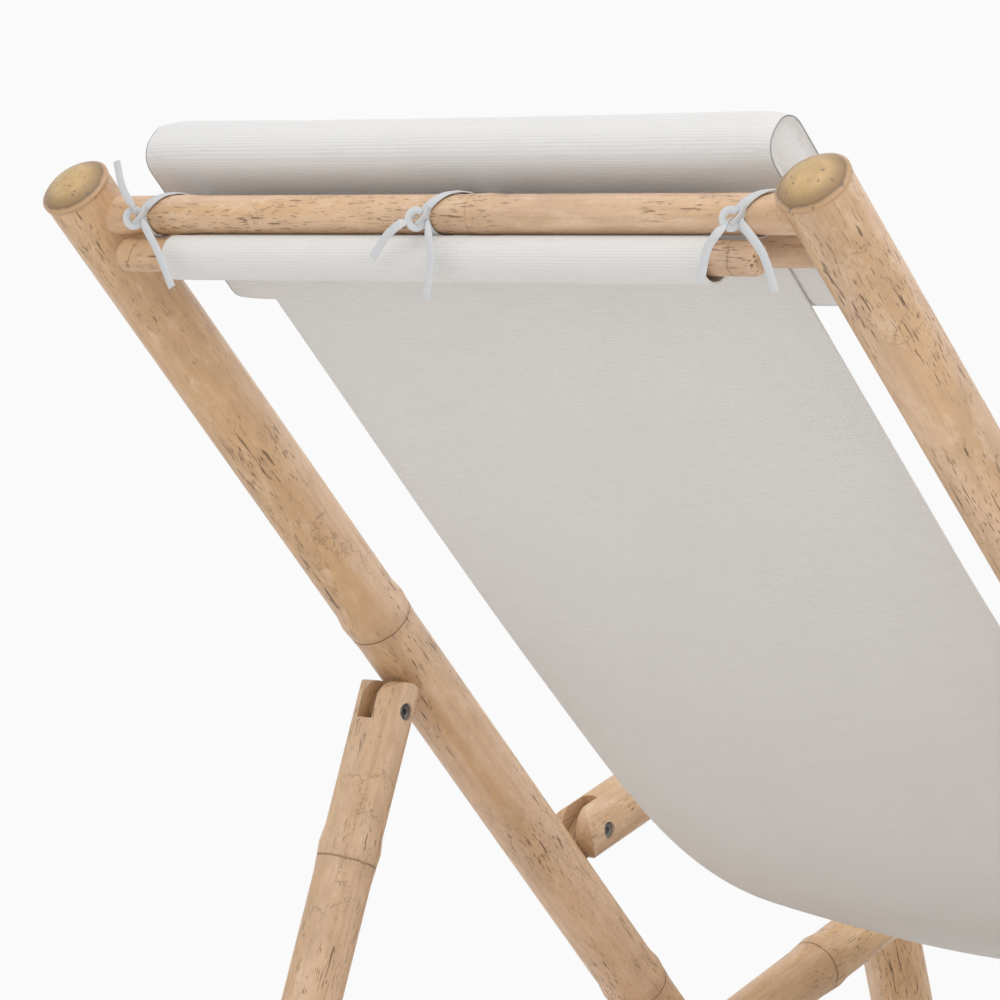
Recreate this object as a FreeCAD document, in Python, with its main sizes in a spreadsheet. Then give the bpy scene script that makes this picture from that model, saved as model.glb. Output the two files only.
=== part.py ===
"""Bamboo folding recliner: a canvas sling between two hinged bamboo frames.

Millimetres. +Z is up and the sitter faces -Y. The origin is on the ground,
under the middle of the chair. The back frame turns on a pivot rod through the
seat rails. A pair of struts holds it up, and armrests tie it to the front legs.
"""
import FreeCAD
import Part
import Sketcher
import math
import os

from FreeCAD import Placement, Rotation, Vector

# Driving sizes: alias, value, what it is.
SIZES = [
    ("pivot_setback", 39.15, "back pivot, in front of the chair's middle"),
    ("pivot_rise", 225.0, "back pivot above the ground"),
    ("back_rise", 44.5, "back rails above the horizontal, degrees"),
    ("seat_rise", 18.0, "seat rails above the horizontal, degrees"),
    ("rail_spacing", 600.0, "between the back rails' centre lines"),
    ("rail_diameter", 48.0, "back rail"),
    ("rail_reach", 932.5, "pivot to the back rail's top end"),
    ("rail_stub", 60.0, "back rail past the pivot"),
    ("seat_rail_diameter", 43.5, "seat rail"),
    ("seat_rail_inset", 50.0, "seat rail inside the back rail, centre to centre"),
    ("seat_reach", 624.0, "pivot to the seat rail's front end"),
    ("ground_bar_diameter", 44.0, "bar that the seat frame rests on"),
    ("ground_bar_overlap", 12.0, "seat rail's end short of the ground bar's centre"),
    ("ground_bar_flat", 4.0, "flat planed under the ground bar"),
    ("cross_diameter", 28.0, "front, pivot, foot and leg cross rails"),
    ("guide_diameter", 24.0, "rail that the sling passes over"),
    ("guide_step", 42.0, "guide rail inside the end cross rail, along the frame"),
    ("guide_lift", 12.0, "guide rail proud of the frame's centre plane"),
    ("top_rail_diameter", 25.6, "top rail"),
    ("top_rail_setback", 24.5, "top rail below the back rails' ends, along them"),
    ("front_rail_setback", 22.0, "front rail behind the seat rails' ends, along them"),
    ("tenon_diameter", 15.0, "round tenon on a cross rail"),
    ("tenon_depth", 14.0, "tenon in the rail, past its side"),
    ("dowel_diameter", 22.0, "loose dowel in the sling's hem"),
    ("dowel_length", 523.0, "loose dowel in the sling's hem"),
    ("dowel_shift", 7.0, "that dowel, towards the sitter's left"),
    ("front_dowel_length", 448.0, "loose dowel in the front hem"),
    ("dowel_rounding", 6.0, "rounded ends of the dowels"),
    ("cap_diameter", 49.5, "domed node plug on a back rail"),
    ("leg_cap_diameter", 51.5, "domed node plug on a front leg"),
    ("seat_cap_diameter", 46.0, "domed node plug on a seat rail"),
    ("cap_height", 9.0, "node plug above the culm"),
    ("plug_diameter", 26.0, "spigot of a node plug"),
    ("plug_depth", 9.0, "spigot of a node plug"),
    ("node_bulge", 1.6, "ridge of a node above the culm"),
    ("rail_node_bulge", 0.7, "ridge of a node above a cross rail"),
    ("node_ridge", 11.0, "ridge of a node above its crease, along the culm"),
    ("node_flare", 26.0, "start of a node above its crease, along the culm"),
    ("node_skirt", 17.0, "end of a node below its crease, along the culm"),
    ("node_sink", 0.3, "a node's thin ends under the culm's skin"),
    ("crease_width", 1.2, "groove round a node"),
    ("crease_share", 0.45, "walls of that groove, as a share of the ridge"),
    ("strut_diameter", 42.4, "strut"),
    ("strut_inset", 3.0, "strut inside the back rail, centre to centre"),
    ("strut_hinge_reach", 446.0, "pivot to the strut hinge, along the back rail"),
    ("foot_setback", 521.0, "pivot to the foot bar, back along the seat rail"),
    ("strut_tail", 24.0, "strut past its foot bar"),
    ("foot_bar_lift", 46.0, "foot bar above the seat rail's centre line"),
    ("arm_diameter", 44.5, "armrest"),
    ("arm_hinge_reach", 196.0, "pivot to the armrest hinge, along the back rail"),
    ("leg_diameter", 50.5, "front leg"),
    ("leg_pivot_reach", 302.0, "back pivot to the leg pivot, along the seat rail"),
    ("leg_head", 46.0, "front leg above its armrest hinge"),
    ("stretcher_drop", 245.0, "leg pivot to the stretcher, along the leg"),
    ("hinge_gap", 0.5, "fork end to the culm that its tongue stands on"),
    ("tongue_thickness", 13.0, "hinge tongue"),
    ("tongue_root", 12.0, "hinge tongue past the culm's centre line"),
    ("tongue_tip", 10.0, "rounded tip of a hinge tongue, radius"),
    ("fork_gap", 0.4, "hinge tongue to each fork cheek"),
    ("fork_depth", 11.5, "fork slot past the hinge pin"),
    ("pin_diameter", 8.0, "hinge pin of a fork"),
    ("pin_head_diameter", 13.0, "head of a fork's hinge pin"),
    ("pin_head_height", 3.5, "head of a fork's hinge pin"),
    ("pin_head_sink", 2.5, "fork pin head below the culm's side"),
    ("socket_width", 5.0, "hexagon socket across corners"),
    ("socket_depth", 2.2, "hexagon socket"),
    ("pivot_diameter", 10.0, "pivot bolt"),
    ("pivot_head_diameter", 17.0, "head of a pivot bolt"),
    ("pivot_head_height", 5.0, "head of a pivot bolt"),
    ("pivot_head_sink", 4.0, "pivot bolt head below the culm's side"),
    ("pivot_thread", 26.0, "pivot bolt in the pivot cross rail"),
    ("nut_width", 19.0, "leg pivot nut across corners"),
    ("nut_height", 6.0, "leg pivot nut"),
    ("nut_sink", 3.0, "leg pivot nut below the seat rail's side"),
    ("washer_diameter", 26.0, "washer between crossing culms"),
    ("running_fit", 0.06, "radial clearance of a pin that turns"),
    ("touch_gap", 0.3, "clearance between curved faces"),
    ("sling_width", 440.0, "canvas sling"),
    ("sling_thickness", 1.6, "canvas sling"),
    ("sling_break", 0.4, "gap between two lengths of the sling"),
    ("pocket_radius", 14.0, "hem pocket, centre line of the canvas"),
    ("pocket_drop", 14.8, "hem pocket below the end cross rail, along the frame"),
    ("pocket_sweep", 325.0, "canvas round the dowel, degrees"),
    ("bow_reach", 598.5, "pivot to the end of the straight back, along the rail"),
    ("bow_radius", 5300.0, "slight bow of the back's lower part"),
    ("bow_turn", 3.2, "slight bow of the back's lower part, degrees"),
    ("loin_radius", 1140.0, "bend of the sling above the hip"),
    ("loin_turn", 4.0, "bend of the sling above the hip, degrees"),
    ("hip_radius", 480.0, "bend of the sling at the hip"),
    ("hip_turn", 20.5, "bend of the sling at the hip, degrees"),
    ("knee_setback", 278.0, "end of the seat's nearly flat length, behind the rails' ends"),
    ("seat_turn", 5.3, "bend of the seat's nearly flat length, degrees"),
    ("knee_radius", 105.0, "bend of the sling in front of the seat"),
    ("cleat_width", 24.0, "notched cleat"),
    ("cleat_bed", 3.0, "flat on the seat rail under the cleat"),
    ("notch_pitch", 47.0, "between two notches"),
    ("notch_gap", 0.4, "foot bar to the notch"),
    ("cleat_stop", 40.0, "cleat in front of the first notch"),
    ("cleat_tail", 24.0, "cleat behind the last notch"),
    ("cleat_slope", 0.045, "rise of the cleat's top per length"),
    ("stop_height", 43.0, "front stop above the seat rail's centre line"),
    ("screw_diameter", 4.0, "cleat screw"),
    ("screw_head_diameter", 8.0, "cleat screw head"),
    ("screw_head_height", 3.0, "cleat screw head"),
    ("screw_length", 26.0, "cleat screw"),
    ("lag_diameter", 7.0, "screw through the ground bar"),
    ("lag_head_diameter", 13.0, "head of that screw"),
    ("lag_length", 80.0, "screw through the ground bar"),
    ("pillow_width", 511.0, "headrest pillow"),
    ("pillow_height", 152.0, "headrest pillow"),
    ("pillow_shift", 2.5, "pillow's middle, towards the sitter's left"),
    ("pillow_thickness", 40.0, "headrest pillow at its boxed ends"),
    ("pillow_crown", 8.0, "swell of the pillow's front in the middle"),
    ("pillow_draw", 2.0, "ends drawn in, each side"),
    ("pillow_drop", 42.5, "pillow's middle below the top rail, along the frame"),
    ("pillow_corner", 16.0, "rounding of the pillow's long edges"),
    ("tie_width", 7.0, "flat tie"),
    ("tie_thickness", 0.6, "flat tie"),
    ("tie_spacing", 242.5, "between ties"),
    ("tie_shift", 1.0, "middle tie, towards the sitter's left"),
    ("tie_lead", 16.2, "hanging end of a tie, from its knot to its bend"),
    ("tie_bend", 12.0, "bend of a tie's hanging end, radius"),
    ("knot_radius", 4.2, "ring of a knot"),
    ("knot_strand", 2.2, "strand of a knot, radius"),
]

NOTCH_COUNT = 3
BACK_NODE_STATIONS = (60.0, 494.0)
SEAT_NODE_STATIONS = (-430.0, 130.0, 470.0)
TOP_RAIL_NODE_STATIONS = (-30.0, 226.0)
STRUT_NODE_STATION = 114.5
ARM_NODE_STATION = 168.0
LEG_NODE_STATIONS = (-210.0, 70.0)

# For each tie: the lean of its two ends, in degrees from straight down, and their lengths.
TIE_ENDS = {
    "left": ((-161.0, 39.0), (27.0, 52.0)),
    "middle": ((-49.0, 41.0), (5.0, 55.0)),
    "right": ((-28.0, 49.0), (29.0, 57.0)),
}

SIDES = (("left", 1), ("right", -1))

doc = FreeCAD.newDocument("recliner")
sheet = doc.addObject("Spreadsheet::Sheet", "Sizes")
for row, (alias, value, meaning) in enumerate(SIZES, start=1):
    sheet.set(f"A{row}", meaning)
    sheet.set(f"B{row}", str(value))
    sheet.setAlias(f"B{row}", alias)
doc.recompute()

NODES = {}
ALONG_X = Rotation(Vector(0, 1, 0), 90)
NO_TURN = Rotation()
TURNED = Rotation(Vector(1, 0, 0), 180)


def size(alias):
    """A driving size, as the sheet holds it."""
    return float(sheet.get(alias))


def radius(alias):
    """Half of a driving diameter."""
    return size(alias) / 2


def cell(alias):
    """The name by which an expression reads a driving size."""
    return f"Sizes.{alias}"


def node(name, shape_object):
    """Register a finished piece under its file name."""
    shape_object.Label = name
    NODES[name] = shape_object
    return shape_object


# Primitives and booleans

def cylinder(name, diameter_cell, height_cell, placement, grow=0.0):
    """Round bar along its placement's Z, with its size bound to the sheet."""
    bar = doc.addObject("Part::Cylinder", name)
    bar.setExpression("Radius", f"{diameter_cell} / 2 + {grow}")
    bar.setExpression("Height", height_cell)
    bar.Placement = placement
    return bar


def block(name, length, width, height, placement):
    """Box from its corner; each size is a sheet expression."""
    box = doc.addObject("Part::Box", name)
    box.setExpression("Length", length)
    box.setExpression("Width", width)
    box.setExpression("Height", height)
    box.Placement = placement
    return box


def fuse(name, pieces):
    """One solid from several primitives."""
    union = doc.addObject("Part::MultiFuse", name)
    union.Shapes = pieces
    union.Refine = False
    return union


def cut(name, base, tools):
    """Take the tools away from the base, one after another."""
    result = base
    for number, tool in enumerate(tools):
        step = doc.addObject("Part::Cut", f"{name}_cut{number}")
        step.Base = result
        step.Tool = tool
        step.Refine = False
        result = step
    return result


def common(name, first, second):
    """What two primitives share."""
    shared = doc.addObject("Part::MultiCommon", name)
    shared.Shapes = [first, second]
    return shared


def group(name, pieces):
    """Like pieces that share one node and stay separate solids."""
    compound = doc.addObject("Part::Compound", name)
    compound.Links = pieces
    return node(name, compound)


# Frames: each has its Z along a culm and its X across the chair

def frame(forward, height, heading):
    """Frame at a side-view point; heading is measured up from forwards."""
    return Placement(Vector(0, -forward, height), Rotation(Vector(1, 0, 0), 90 - heading))


def at(base, x, y, z, turn=NO_TURN):
    """Place inside a frame."""
    return base * Placement(Vector(x, y, z), turn)


def side_point(base, y, z):
    """Forward and height of a point of a frame."""
    spot = base.multVec(Vector(0, y, z))
    return (-spot.y, spot.z)


def polar(reach, heading):
    """Forward and up parts of a length at a heading."""
    angle = math.radians(heading)
    return (reach * math.cos(angle), reach * math.sin(angle))


def plus(point, step):
    """Sum of two side-view points."""
    return (point[0] + step[0], point[1] + step[1])


pivot = (size("pivot_setback"), size("pivot_rise"))
back_heading = 180 - size("back_rise")
seat_heading = size("seat_rise")

BACK = frame(*pivot, back_heading)
SEAT = frame(*pivot, seat_heading)
half_spacing = size("rail_spacing") / 2
seat_x = half_spacing - size("seat_rail_inset")
strut_x = half_spacing - size("strut_inset")
top_reach = size("rail_reach") - size("top_rail_setback")
front_reach = size("seat_reach") - size("front_rail_setback")

# The armrest, back rail, seat rail and front leg make a parallelogram.
arm_offset = radius("rail_diameter") + radius("arm_diameter") + size("hinge_gap")
leg_offset = radius("leg_diameter") + radius("arm_diameter") + size("hinge_gap")
arm_rear = side_point(BACK, -arm_offset, size("arm_hinge_reach"))
leg_pivot = side_point(SEAT, 0, size("leg_pivot_reach"))
arm_link = (arm_rear[0] - pivot[0], arm_rear[1] - pivot[1])
arm_front = plus(leg_pivot, arm_link)
link_length = math.hypot(*arm_link)
link_heading = math.degrees(math.atan2(arm_link[1], arm_link[0]))
leg_heading = link_heading - math.degrees(math.asin(leg_offset / link_length))
leg_hinge_reach = math.sqrt(link_length ** 2 - leg_offset ** 2)
ARM = frame(*arm_rear, seat_heading)
LEG = frame(*leg_pivot, leg_heading)

# The strut runs from its hinge to a foot bar that lies on the seat rails.
strut_offset = radius("rail_diameter") + radius("strut_diameter") + size("hinge_gap")
strut_hinge = side_point(BACK, strut_offset, size("strut_hinge_reach"))
foot_reach = -size("foot_setback")
foot = side_point(SEAT, size("foot_bar_lift"), foot_reach)
strut_length = math.hypot(foot[0] - strut_hinge[0], foot[1] - strut_hinge[1])
strut_heading = math.degrees(math.atan2(foot[1] - strut_hinge[1], foot[0] - strut_hinge[0]))
STRUT = frame(*strut_hinge, strut_heading)

# The ground bar stands on its flat, at the rear end of the seat rails.
ground_rise = radius("ground_bar_diameter") - size("ground_bar_flat")
ground_reach = -(pivot[1] - ground_rise) / math.sin(math.radians(seat_heading))
ground_bar_spot = side_point(SEAT, 0, ground_reach)


# Culms

def cone(name, low_radius, high_radius, height, placement):
    """Cone stump along its placement's Z; each size is a sheet expression."""
    stump = doc.addObject("Part::Cone", name)
    stump.setExpression("Radius1", low_radius)
    stump.setExpression("Radius2", high_radius)
    stump.setExpression("Height", height)
    stump.Placement = placement
    return stump


def bamboo_node(name, diameter_alias, base, bulge_alias="node_bulge"):
    """Node of a culm: a flare, a ridge, a fine groove and a skirt, along the base's Z.

    The base stands at the groove and its Z points to the ridge.
    """
    bulge = cell(bulge_alias)
    skin = f"{cell(diameter_alias)} / 2"
    below = f"{skin} - {cell('node_sink')}"
    ridge = f"{skin} + {bulge}"
    lip = f"{skin} + {bulge} * {cell('crease_share')}"
    groove = f"{cell('crease_width')} / 2"
    half_groove = size("crease_width") / 2
    flare_height = f"{cell('node_flare')} - {cell('node_ridge')}"
    neck_height = f"{cell('node_ridge')} - {groove}"
    skirt_height = f"{cell('node_skirt')} - {groove}"
    flare = cone(name + "_flare", ridge, below, flare_height, at(base, 0, 0, size("node_ridge")))
    neck = cone(name + "_neck", lip, ridge, neck_height, at(base, 0, 0, half_groove))
    skirt = cone(name + "_skirt", below, lip, skirt_height, at(base, 0, 0, -size("node_skirt")))
    return [flare, neck, skirt]


def culm(name, diameter_alias, base, x, start, end, stations, turn=NO_TURN):
    """Bamboo pole along a frame's Z from start to end, with its nodes."""
    pole = cylinder(name + "_pole", cell(diameter_alias), f"{end - start}", at(base, x, 0, start))
    pieces = [pole]
    for number, station in enumerate(stations):
        place = at(base, x, 0, station, turn)
        pieces += bamboo_node(f"{name}_node{number}", diameter_alias, place)
    return fuse(name + "_culm", pieces)


def cross_bore(name, diameter_alias, base, y, z, x_from, x_to, grow=0.0):
    """Round tool or bar along X, at a place in a frame."""
    low = min(x_from, x_to)
    placement = at(base, low, y, z, ALONG_X)
    return cylinder(name, cell(diameter_alias), f"{abs(x_to - x_from)}", placement, grow)


def side_cylinders(name, diameter_alias, base, offset, start, end):
    """The two side culms as plain tools, for coping what meets them."""
    tools = []
    for side, sign in SIDES:
        placement = at(base, sign * offset, 0, start)
        tool_name = f"{name}_{side}_side"
        tools.append(cylinder(tool_name, cell(diameter_alias), f"{end - start}", placement))
    return tools


def tenon_reach(diameter_alias, offset):
    """Where a cross rail's tenon ends, across the chair."""
    return offset - radius(diameter_alias) + size("tenon_depth")


def cross_rail(name, diameter_alias, base, y, z, side_alias, offset, stations=()):
    """Cross rail coped to the side culms, with a round tenon at each end."""
    bar = cross_bore(name + "_bar", diameter_alias, base, y, z, -offset, offset)
    pieces = [bar]
    for number, station in enumerate(stations):
        place = at(base, station, y, z, ALONG_X * TURNED)
        pieces += bamboo_node(f"{name}_node{number}", diameter_alias, place, "rail_node_bulge")
    body = fuse(name + "_culm", pieces) if stations else bar
    reach = size("rail_diameter")
    sides = side_cylinders(name, side_alias, base, offset, z - reach, z + reach)
    coped = cut(name, body, sides)
    end = tenon_reach(side_alias, offset)
    tenon = cross_bore(name + "_tenon", "tenon_diameter", base, y, z, -end, end)
    return node(name, fuse(name, [coped, tenon]))


def mortises(name, base, side_alias, offset, sign, places):
    """Round mortises in one side culm for the tenons of cross rails."""
    end = tenon_reach(side_alias, offset)
    tools = []
    for number, (y, z) in enumerate(places):
        tool_name = f"{name}_mortise{number}"
        tools.append(cross_bore(tool_name, "tenon_diameter", base, y, z, 0, sign * end))
    return tools


def cap(name, diameter_alias, base, x, end):
    """Domed node plug in the end of a culm, and the bore that takes it."""
    wide = size(diameter_alias) / 2
    high = size("cap_height")
    ball = doc.addObject("Part::Sphere", name + "_ball")
    dome_radius = f"(({cell(diameter_alias)} / 2) ^ 2 + {cell('cap_height')} ^ 2)"
    ball.setExpression("Radius", f"{dome_radius} / (2 * {cell('cap_height')})")
    ball_radius = (wide ** 2 + high ** 2) / (2 * high)
    ball.Placement = at(base, x, 0, end + high - ball_radius + cap_rim)
    disc = cylinder(name + "_disc", cell(diameter_alias), f"{high + cap_rim}", at(base, x, 0, end))
    dome = common(name + "_dome", ball, disc)
    spigot_place = at(base, x, 0, end - size("plug_depth"))
    spigot = cylinder(name + "_spigot", cell("plug_diameter"), cell("plug_depth"), spigot_place)
    bore = cylinder(name + "_bore", cell("plug_diameter"), cell("plug_depth"), spigot_place)
    return node(name, fuse(name, [dome, spigot])), bore


cap_rim = 2.0


# Forks, tongues and their pins

def fork_end(name, diameter_alias, base, x, z, outward):
    """Culm end rounded about its hinge pin; outward is +1 or -1 along the culm."""
    placement = at(base, x, 0, z if outward > 0 else z - radius(diameter_alias))
    tip = cylinder(name + "_tip", cell(diameter_alias), f"{cell(diameter_alias)} / 2", placement)
    half = radius(diameter_alias)
    rounder = cross_bore(name + "_round", diameter_alias, base, 0, z, x - half, x + half)
    return common(name + "_end", tip, rounder)


def fork_slot(name, diameter_alias, base, x, z, outward):
    """Slot between the fork's cheeks, open at the culm's end."""
    slot = f"({cell('tongue_thickness')} + 2 * {cell('fork_gap')})"
    half = radius(diameter_alias)
    half_slot = size("tongue_thickness") / 2 + size("fork_gap")
    low = z - size("fork_depth") if outward > 0 else z - half
    placement = at(base, x - half_slot, -half, low)
    height = f"{cell(diameter_alias)} / 2 + {cell('fork_depth')}"
    return block(name + "_slot", slot, cell(diameter_alias), height, placement)


def pin_parts(name, diameter_alias, base, x, z, inward):
    """Socket screw and barrel nut of a fork, and the holes that take them."""
    half = radius(diameter_alias) - size("pin_head_sink")
    head = size("pin_head_height")
    inner = x + inward * half
    outer = x - inward * half
    shank = cross_bore(name + "_shank", "pin_diameter", base, 0, z, inner, x)
    screw_head = cross_bore(name + "_head", "pin_head_diameter", base, 0, z,
                            inner, inner - inward * head)
    socket_length = size("socket_depth")
    socket = cross_bore(name + "_socket", "socket_width", base, 0, z,
                        inner, inner - inward * socket_length)
    screw = cut(name + "_screw", fuse(name + "_screw", [shank, screw_head]), [socket])
    barrel = cross_bore(name + "_barrel", "pin_diameter", base, 0, z, x, outer)
    nut_head = cross_bore(name + "_nuthead", "pin_head_diameter", base, 0, z,
                          outer, outer + inward * head)
    nut = fuse(name + "_nut", [barrel, nut_head])
    half_wide = radius(diameter_alias) + size("node_bulge")
    hole = cross_bore(name + "_hole", "pin_diameter", base, 0, z, x - half_wide, x + half_wide)
    sinks = []
    for direction in (1, -1):
        depth = half - head
        start = x + direction * depth
        end = x + direction * half_wide
        sink_name = f"{name}_sink{'a' if direction > 0 else 'b'}"
        sinks.append(cross_bore(sink_name, "pin_head_diameter", base, 0, z, start, end))
    return screw, nut, [hole] + sinks


def origin_plane(body, role):
    """An origin plane of a body, found by its role."""
    for feature in body.Origin.OriginFeatures:
        if feature.Role == role:
            return feature
    raise ValueError(role)


def tongue(name, base, x, y_sign, offset, z):
    """Hinge tongue: a plate with a rounded tip about its pin, standing on a culm.

    The sketch's X runs from the culm's centre line towards the pin.
    """
    body = doc.addObject("PartDesign::Body", name + "_body")
    sketch = body.newObject("Sketcher::SketchObject", name + "_outline")
    sketch.AttachmentSupport = (origin_plane(body, "XY_Plane"), [""])
    sketch.MapMode = "FlatFace"
    tip = size("tongue_tip")
    root = -size("tongue_root")
    corner_low = Vector(root, -tip, 0)
    corner_high = Vector(root, tip, 0)
    tip_low = Vector(offset, -tip, 0)
    tip_high = Vector(offset, tip, 0)
    centre = Vector(offset, 0, 0)
    circle = Part.Circle(centre, Vector(0, 0, 1), tip)
    sketch.addGeometry(Part.LineSegment(corner_low, tip_low), False)
    sketch.addGeometry(Part.ArcOfCircle(circle, -math.pi / 2, math.pi / 2), False)
    sketch.addGeometry(Part.LineSegment(tip_high, corner_high), False)
    sketch.addGeometry(Part.LineSegment(corner_high, corner_low), False)
    hole_radius = radius("pin_diameter") + size("running_fit")
    sketch.addGeometry(Part.Circle(centre, Vector(0, 0, 1), hole_radius), False)
    joins = [("Tangent", 0, 2, 1, 1), ("Tangent", 1, 2, 2, 1), ("Coincident", 2, 2, 3, 1),
             ("Coincident", 3, 2, 0, 1), ("Coincident", 1, 3, 4, 3)]
    for join in joins:
        sketch.addConstraint(Sketcher.Constraint(*join))
    sketch.addConstraint(Sketcher.Constraint("Horizontal", 0))
    sketch.addConstraint(Sketcher.Constraint("Horizontal", 2))
    sketch.addConstraint(Sketcher.Constraint("Vertical", 3))
    sketch.addConstraint(Sketcher.Constraint("PointOnObject", 1, 3, -1))
    bind(sketch, "Radius", (1, tip), cell("tongue_tip"))
    hole_expression = f"{cell('pin_diameter')} / 2 + {cell('running_fit')}"
    bind(sketch, "Radius", (4, hole_radius), hole_expression)
    bind(sketch, "DistanceX", (-1, 1, 1, 3, offset), f"{offset}")
    bind(sketch, "DistanceX", (3, 1, -1, 1, -root), cell("tongue_root"))
    pad = body.newObject("PartDesign::Pad", name + "_pad")
    pad.Profile = sketch
    pad.setExpression("Length", cell("tongue_thickness"))
    pad.Midplane = True
    doc.recompute()
    toward_pin = Vector(0, y_sign, 0)
    across = Vector(0, 0, 1)
    normal = toward_pin.cross(across)
    turn = Rotation(toward_pin, across, normal, "ZXY")
    body.Placement = at(base, x, 0, z, turn)
    return node(name, body)


def bind(sketch, kind, values, expression):
    """Dimension a sketch and tie that dimension to an expression."""
    number = sketch.addConstraint(Sketcher.Constraint(kind, *values))
    sketch.setExpression(f"Constraints[{number}]", expression)


def tongue_mortise(name, base, x, y_sign, z):
    """Slot in the culm that the tongue's root fills."""
    half = size("tongue_thickness") / 2
    root = size("tongue_root")
    span = f"{cell('tongue_root')} + {cell('rail_diameter')}"
    y_low = -root if y_sign > 0 else -size("rail_diameter")
    placement = at(base, x - half, y_low, z - size("tongue_tip"))
    return block(name + "_mortise", cell("tongue_thickness"), span,
                 f"2 * {cell('tongue_tip')}", placement)


# Back frame

back_y = -size("guide_lift")
guide_reach = top_reach - size("guide_step")
rail_places = [(0, top_reach), (back_y, guide_reach)]


def back_rails():
    """Back rails with their node plugs, mortises and pivot holes."""
    for side, sign in SIDES:
        name = f"back_rail_{side}"
        x = sign * half_spacing
        end = size("rail_reach")
        pole = culm(name, "rail_diameter", BACK, x, -size("rail_stub"), end, BACK_NODE_STATIONS)
        _, bore = cap(f"rail_cap_{side}", "cap_diameter", BACK, x, end)
        tools = [bore]
        tools += mortises(name, BACK, "rail_diameter", half_spacing, sign, rail_places)
        strut_slot = tongue_mortise(name + "_strut", BACK, sign * strut_x, 1,
                                    size("strut_hinge_reach"))
        tools.append(strut_slot)
        tools.append(tongue_mortise(name + "_arm", BACK, x, -1, size("arm_hinge_reach")))
        tools += pivot_hole(name, "rail_diameter", BACK, x, sign)
        node(name, cut(name, pole, tools))


def pivot_hole(name, diameter_alias, base, x, sign):
    """Running hole for a pivot bolt, with a sink for its head on the outside."""
    reach = radius(diameter_alias) + size("node_bulge")
    fit = size("running_fit")
    hole = cross_bore(name + "_pivot", "pivot_diameter", base, 0, 0, x - reach, x + reach, fit)
    floor = radius(diameter_alias) - size("pivot_head_sink") - size("pivot_head_height")
    start = x + sign * (floor - size("touch_gap"))
    sink = cross_bore(name + "_pivotsink", "pivot_head_diameter", base, 0, 0,
                      start, x + sign * reach, size("touch_gap"))
    return [hole, sink]


def back_cross_rails():
    """Top rail and the guide rail just under it."""
    cross_rail("top_rail", "top_rail_diameter", BACK, 0, top_reach,
               "rail_diameter", half_spacing, TOP_RAIL_NODE_STATIONS)
    cross_rail("top_guide_rail", "guide_diameter", BACK, back_y, guide_reach,
               "rail_diameter", half_spacing)


def back_tongues():
    """Hinge tongues of the struts, behind, and of the armrests, in front."""
    for side, sign in SIDES:
        tongue(f"strut_tongue_{side}", BACK, sign * strut_x, 1, strut_offset,
               size("strut_hinge_reach"))
        tongue(f"arm_tongue_{side}", BACK, sign * half_spacing, -1, arm_offset,
               size("arm_hinge_reach"))


# Seat frame

front_guide_reach = front_reach - size("guide_step")
seat_places = [(0, front_reach), (size("guide_lift"), front_guide_reach), (0, 0)]
notch_reaches = [foot_reach - number * size("notch_pitch") for number in range(NOTCH_COUNT)]
cleat_front = foot_reach + size("cleat_stop")
cleat_rear = notch_reaches[-1] - size("cleat_tail")
bed_height = radius("seat_rail_diameter") - size("cleat_bed")
screw_reaches = [foot_reach + size("cleat_stop") * 0.7, notch_reaches[-1] + size("notch_pitch") / 2]


def seat_rails():
    """Seat rails coped to the ground bar, with beds for the notched cleats."""
    for side, sign in SIDES:
        name = f"seat_rail_{side}"
        x = sign * seat_x
        end = size("seat_reach")
        start = ground_reach + size("ground_bar_overlap")
        pole = culm(name, "seat_rail_diameter", SEAT, x, start, end, SEAT_NODE_STATIONS)
        _, bore = cap(f"seat_rail_cap_{side}", "seat_cap_diameter", SEAT, x, end)
        tools = [bore]
        tools += mortises(name, SEAT, "seat_rail_diameter", seat_x, sign, seat_places)
        half = seat_x
        tools.append(cross_bore(name + "_cope", "ground_bar_diameter", SEAT, 0, ground_reach,
                                -half * 2, half * 2))
        span = radius("seat_rail_diameter") + size("node_bulge")
        for bolt, reach in (("back", 0), ("leg", size("leg_pivot_reach"))):
            tools.append(cross_bore(f"{name}_{bolt}", "pivot_diameter", SEAT, 0, reach,
                                    x - span, x + span))
        nut_floor = radius("seat_rail_diameter") - size("nut_sink")
        tools.append(cross_bore(name + "_nutsink", "washer_diameter", SEAT, 0,
                                size("leg_pivot_reach"), x - sign * nut_floor, x - sign * span))
        bed = at(SEAT, x - size("cleat_width") / 2, bed_height, cleat_rear)
        tools.append(block(name + "_bed", cell("cleat_width"), cell("seat_rail_diameter"),
                           f"{cleat_front - cleat_rear}", bed))
        tools += cleat_screws(name, x)
        tools.append(ground_lag(name, x))
        node(name, cut(name, pole, tools))


def seat_cross_rails():
    """Front rail, front guide rail and the cross rail on the back pivot."""
    cross_rail("front_rail", "cross_diameter", SEAT, 0, front_reach,
               "seat_rail_diameter", seat_x, (70.0,))
    cross_rail("front_guide_rail", "guide_diameter", SEAT, size("guide_lift"), front_guide_reach,
               "seat_rail_diameter", seat_x)
    rail = cross_rail("pivot_cross_rail", "cross_diameter", SEAT, 0, 0,
                      "seat_rail_diameter", seat_x, (-60.0, 150.0))
    ends = []
    reach = seat_x
    for side, sign in SIDES:
        start = sign * (seat_x - radius("seat_rail_diameter") - size("pivot_thread"))
        ends.append(cross_bore(f"pivot_cross_rail_{side}_bore", "pivot_diameter", SEAT, 0, 0,
                               start, sign * reach))
    rail.Label = "pivot_cross_rail_solid"
    node("pivot_cross_rail", cut("pivot_cross_rail_bored", rail, ends))


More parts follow.
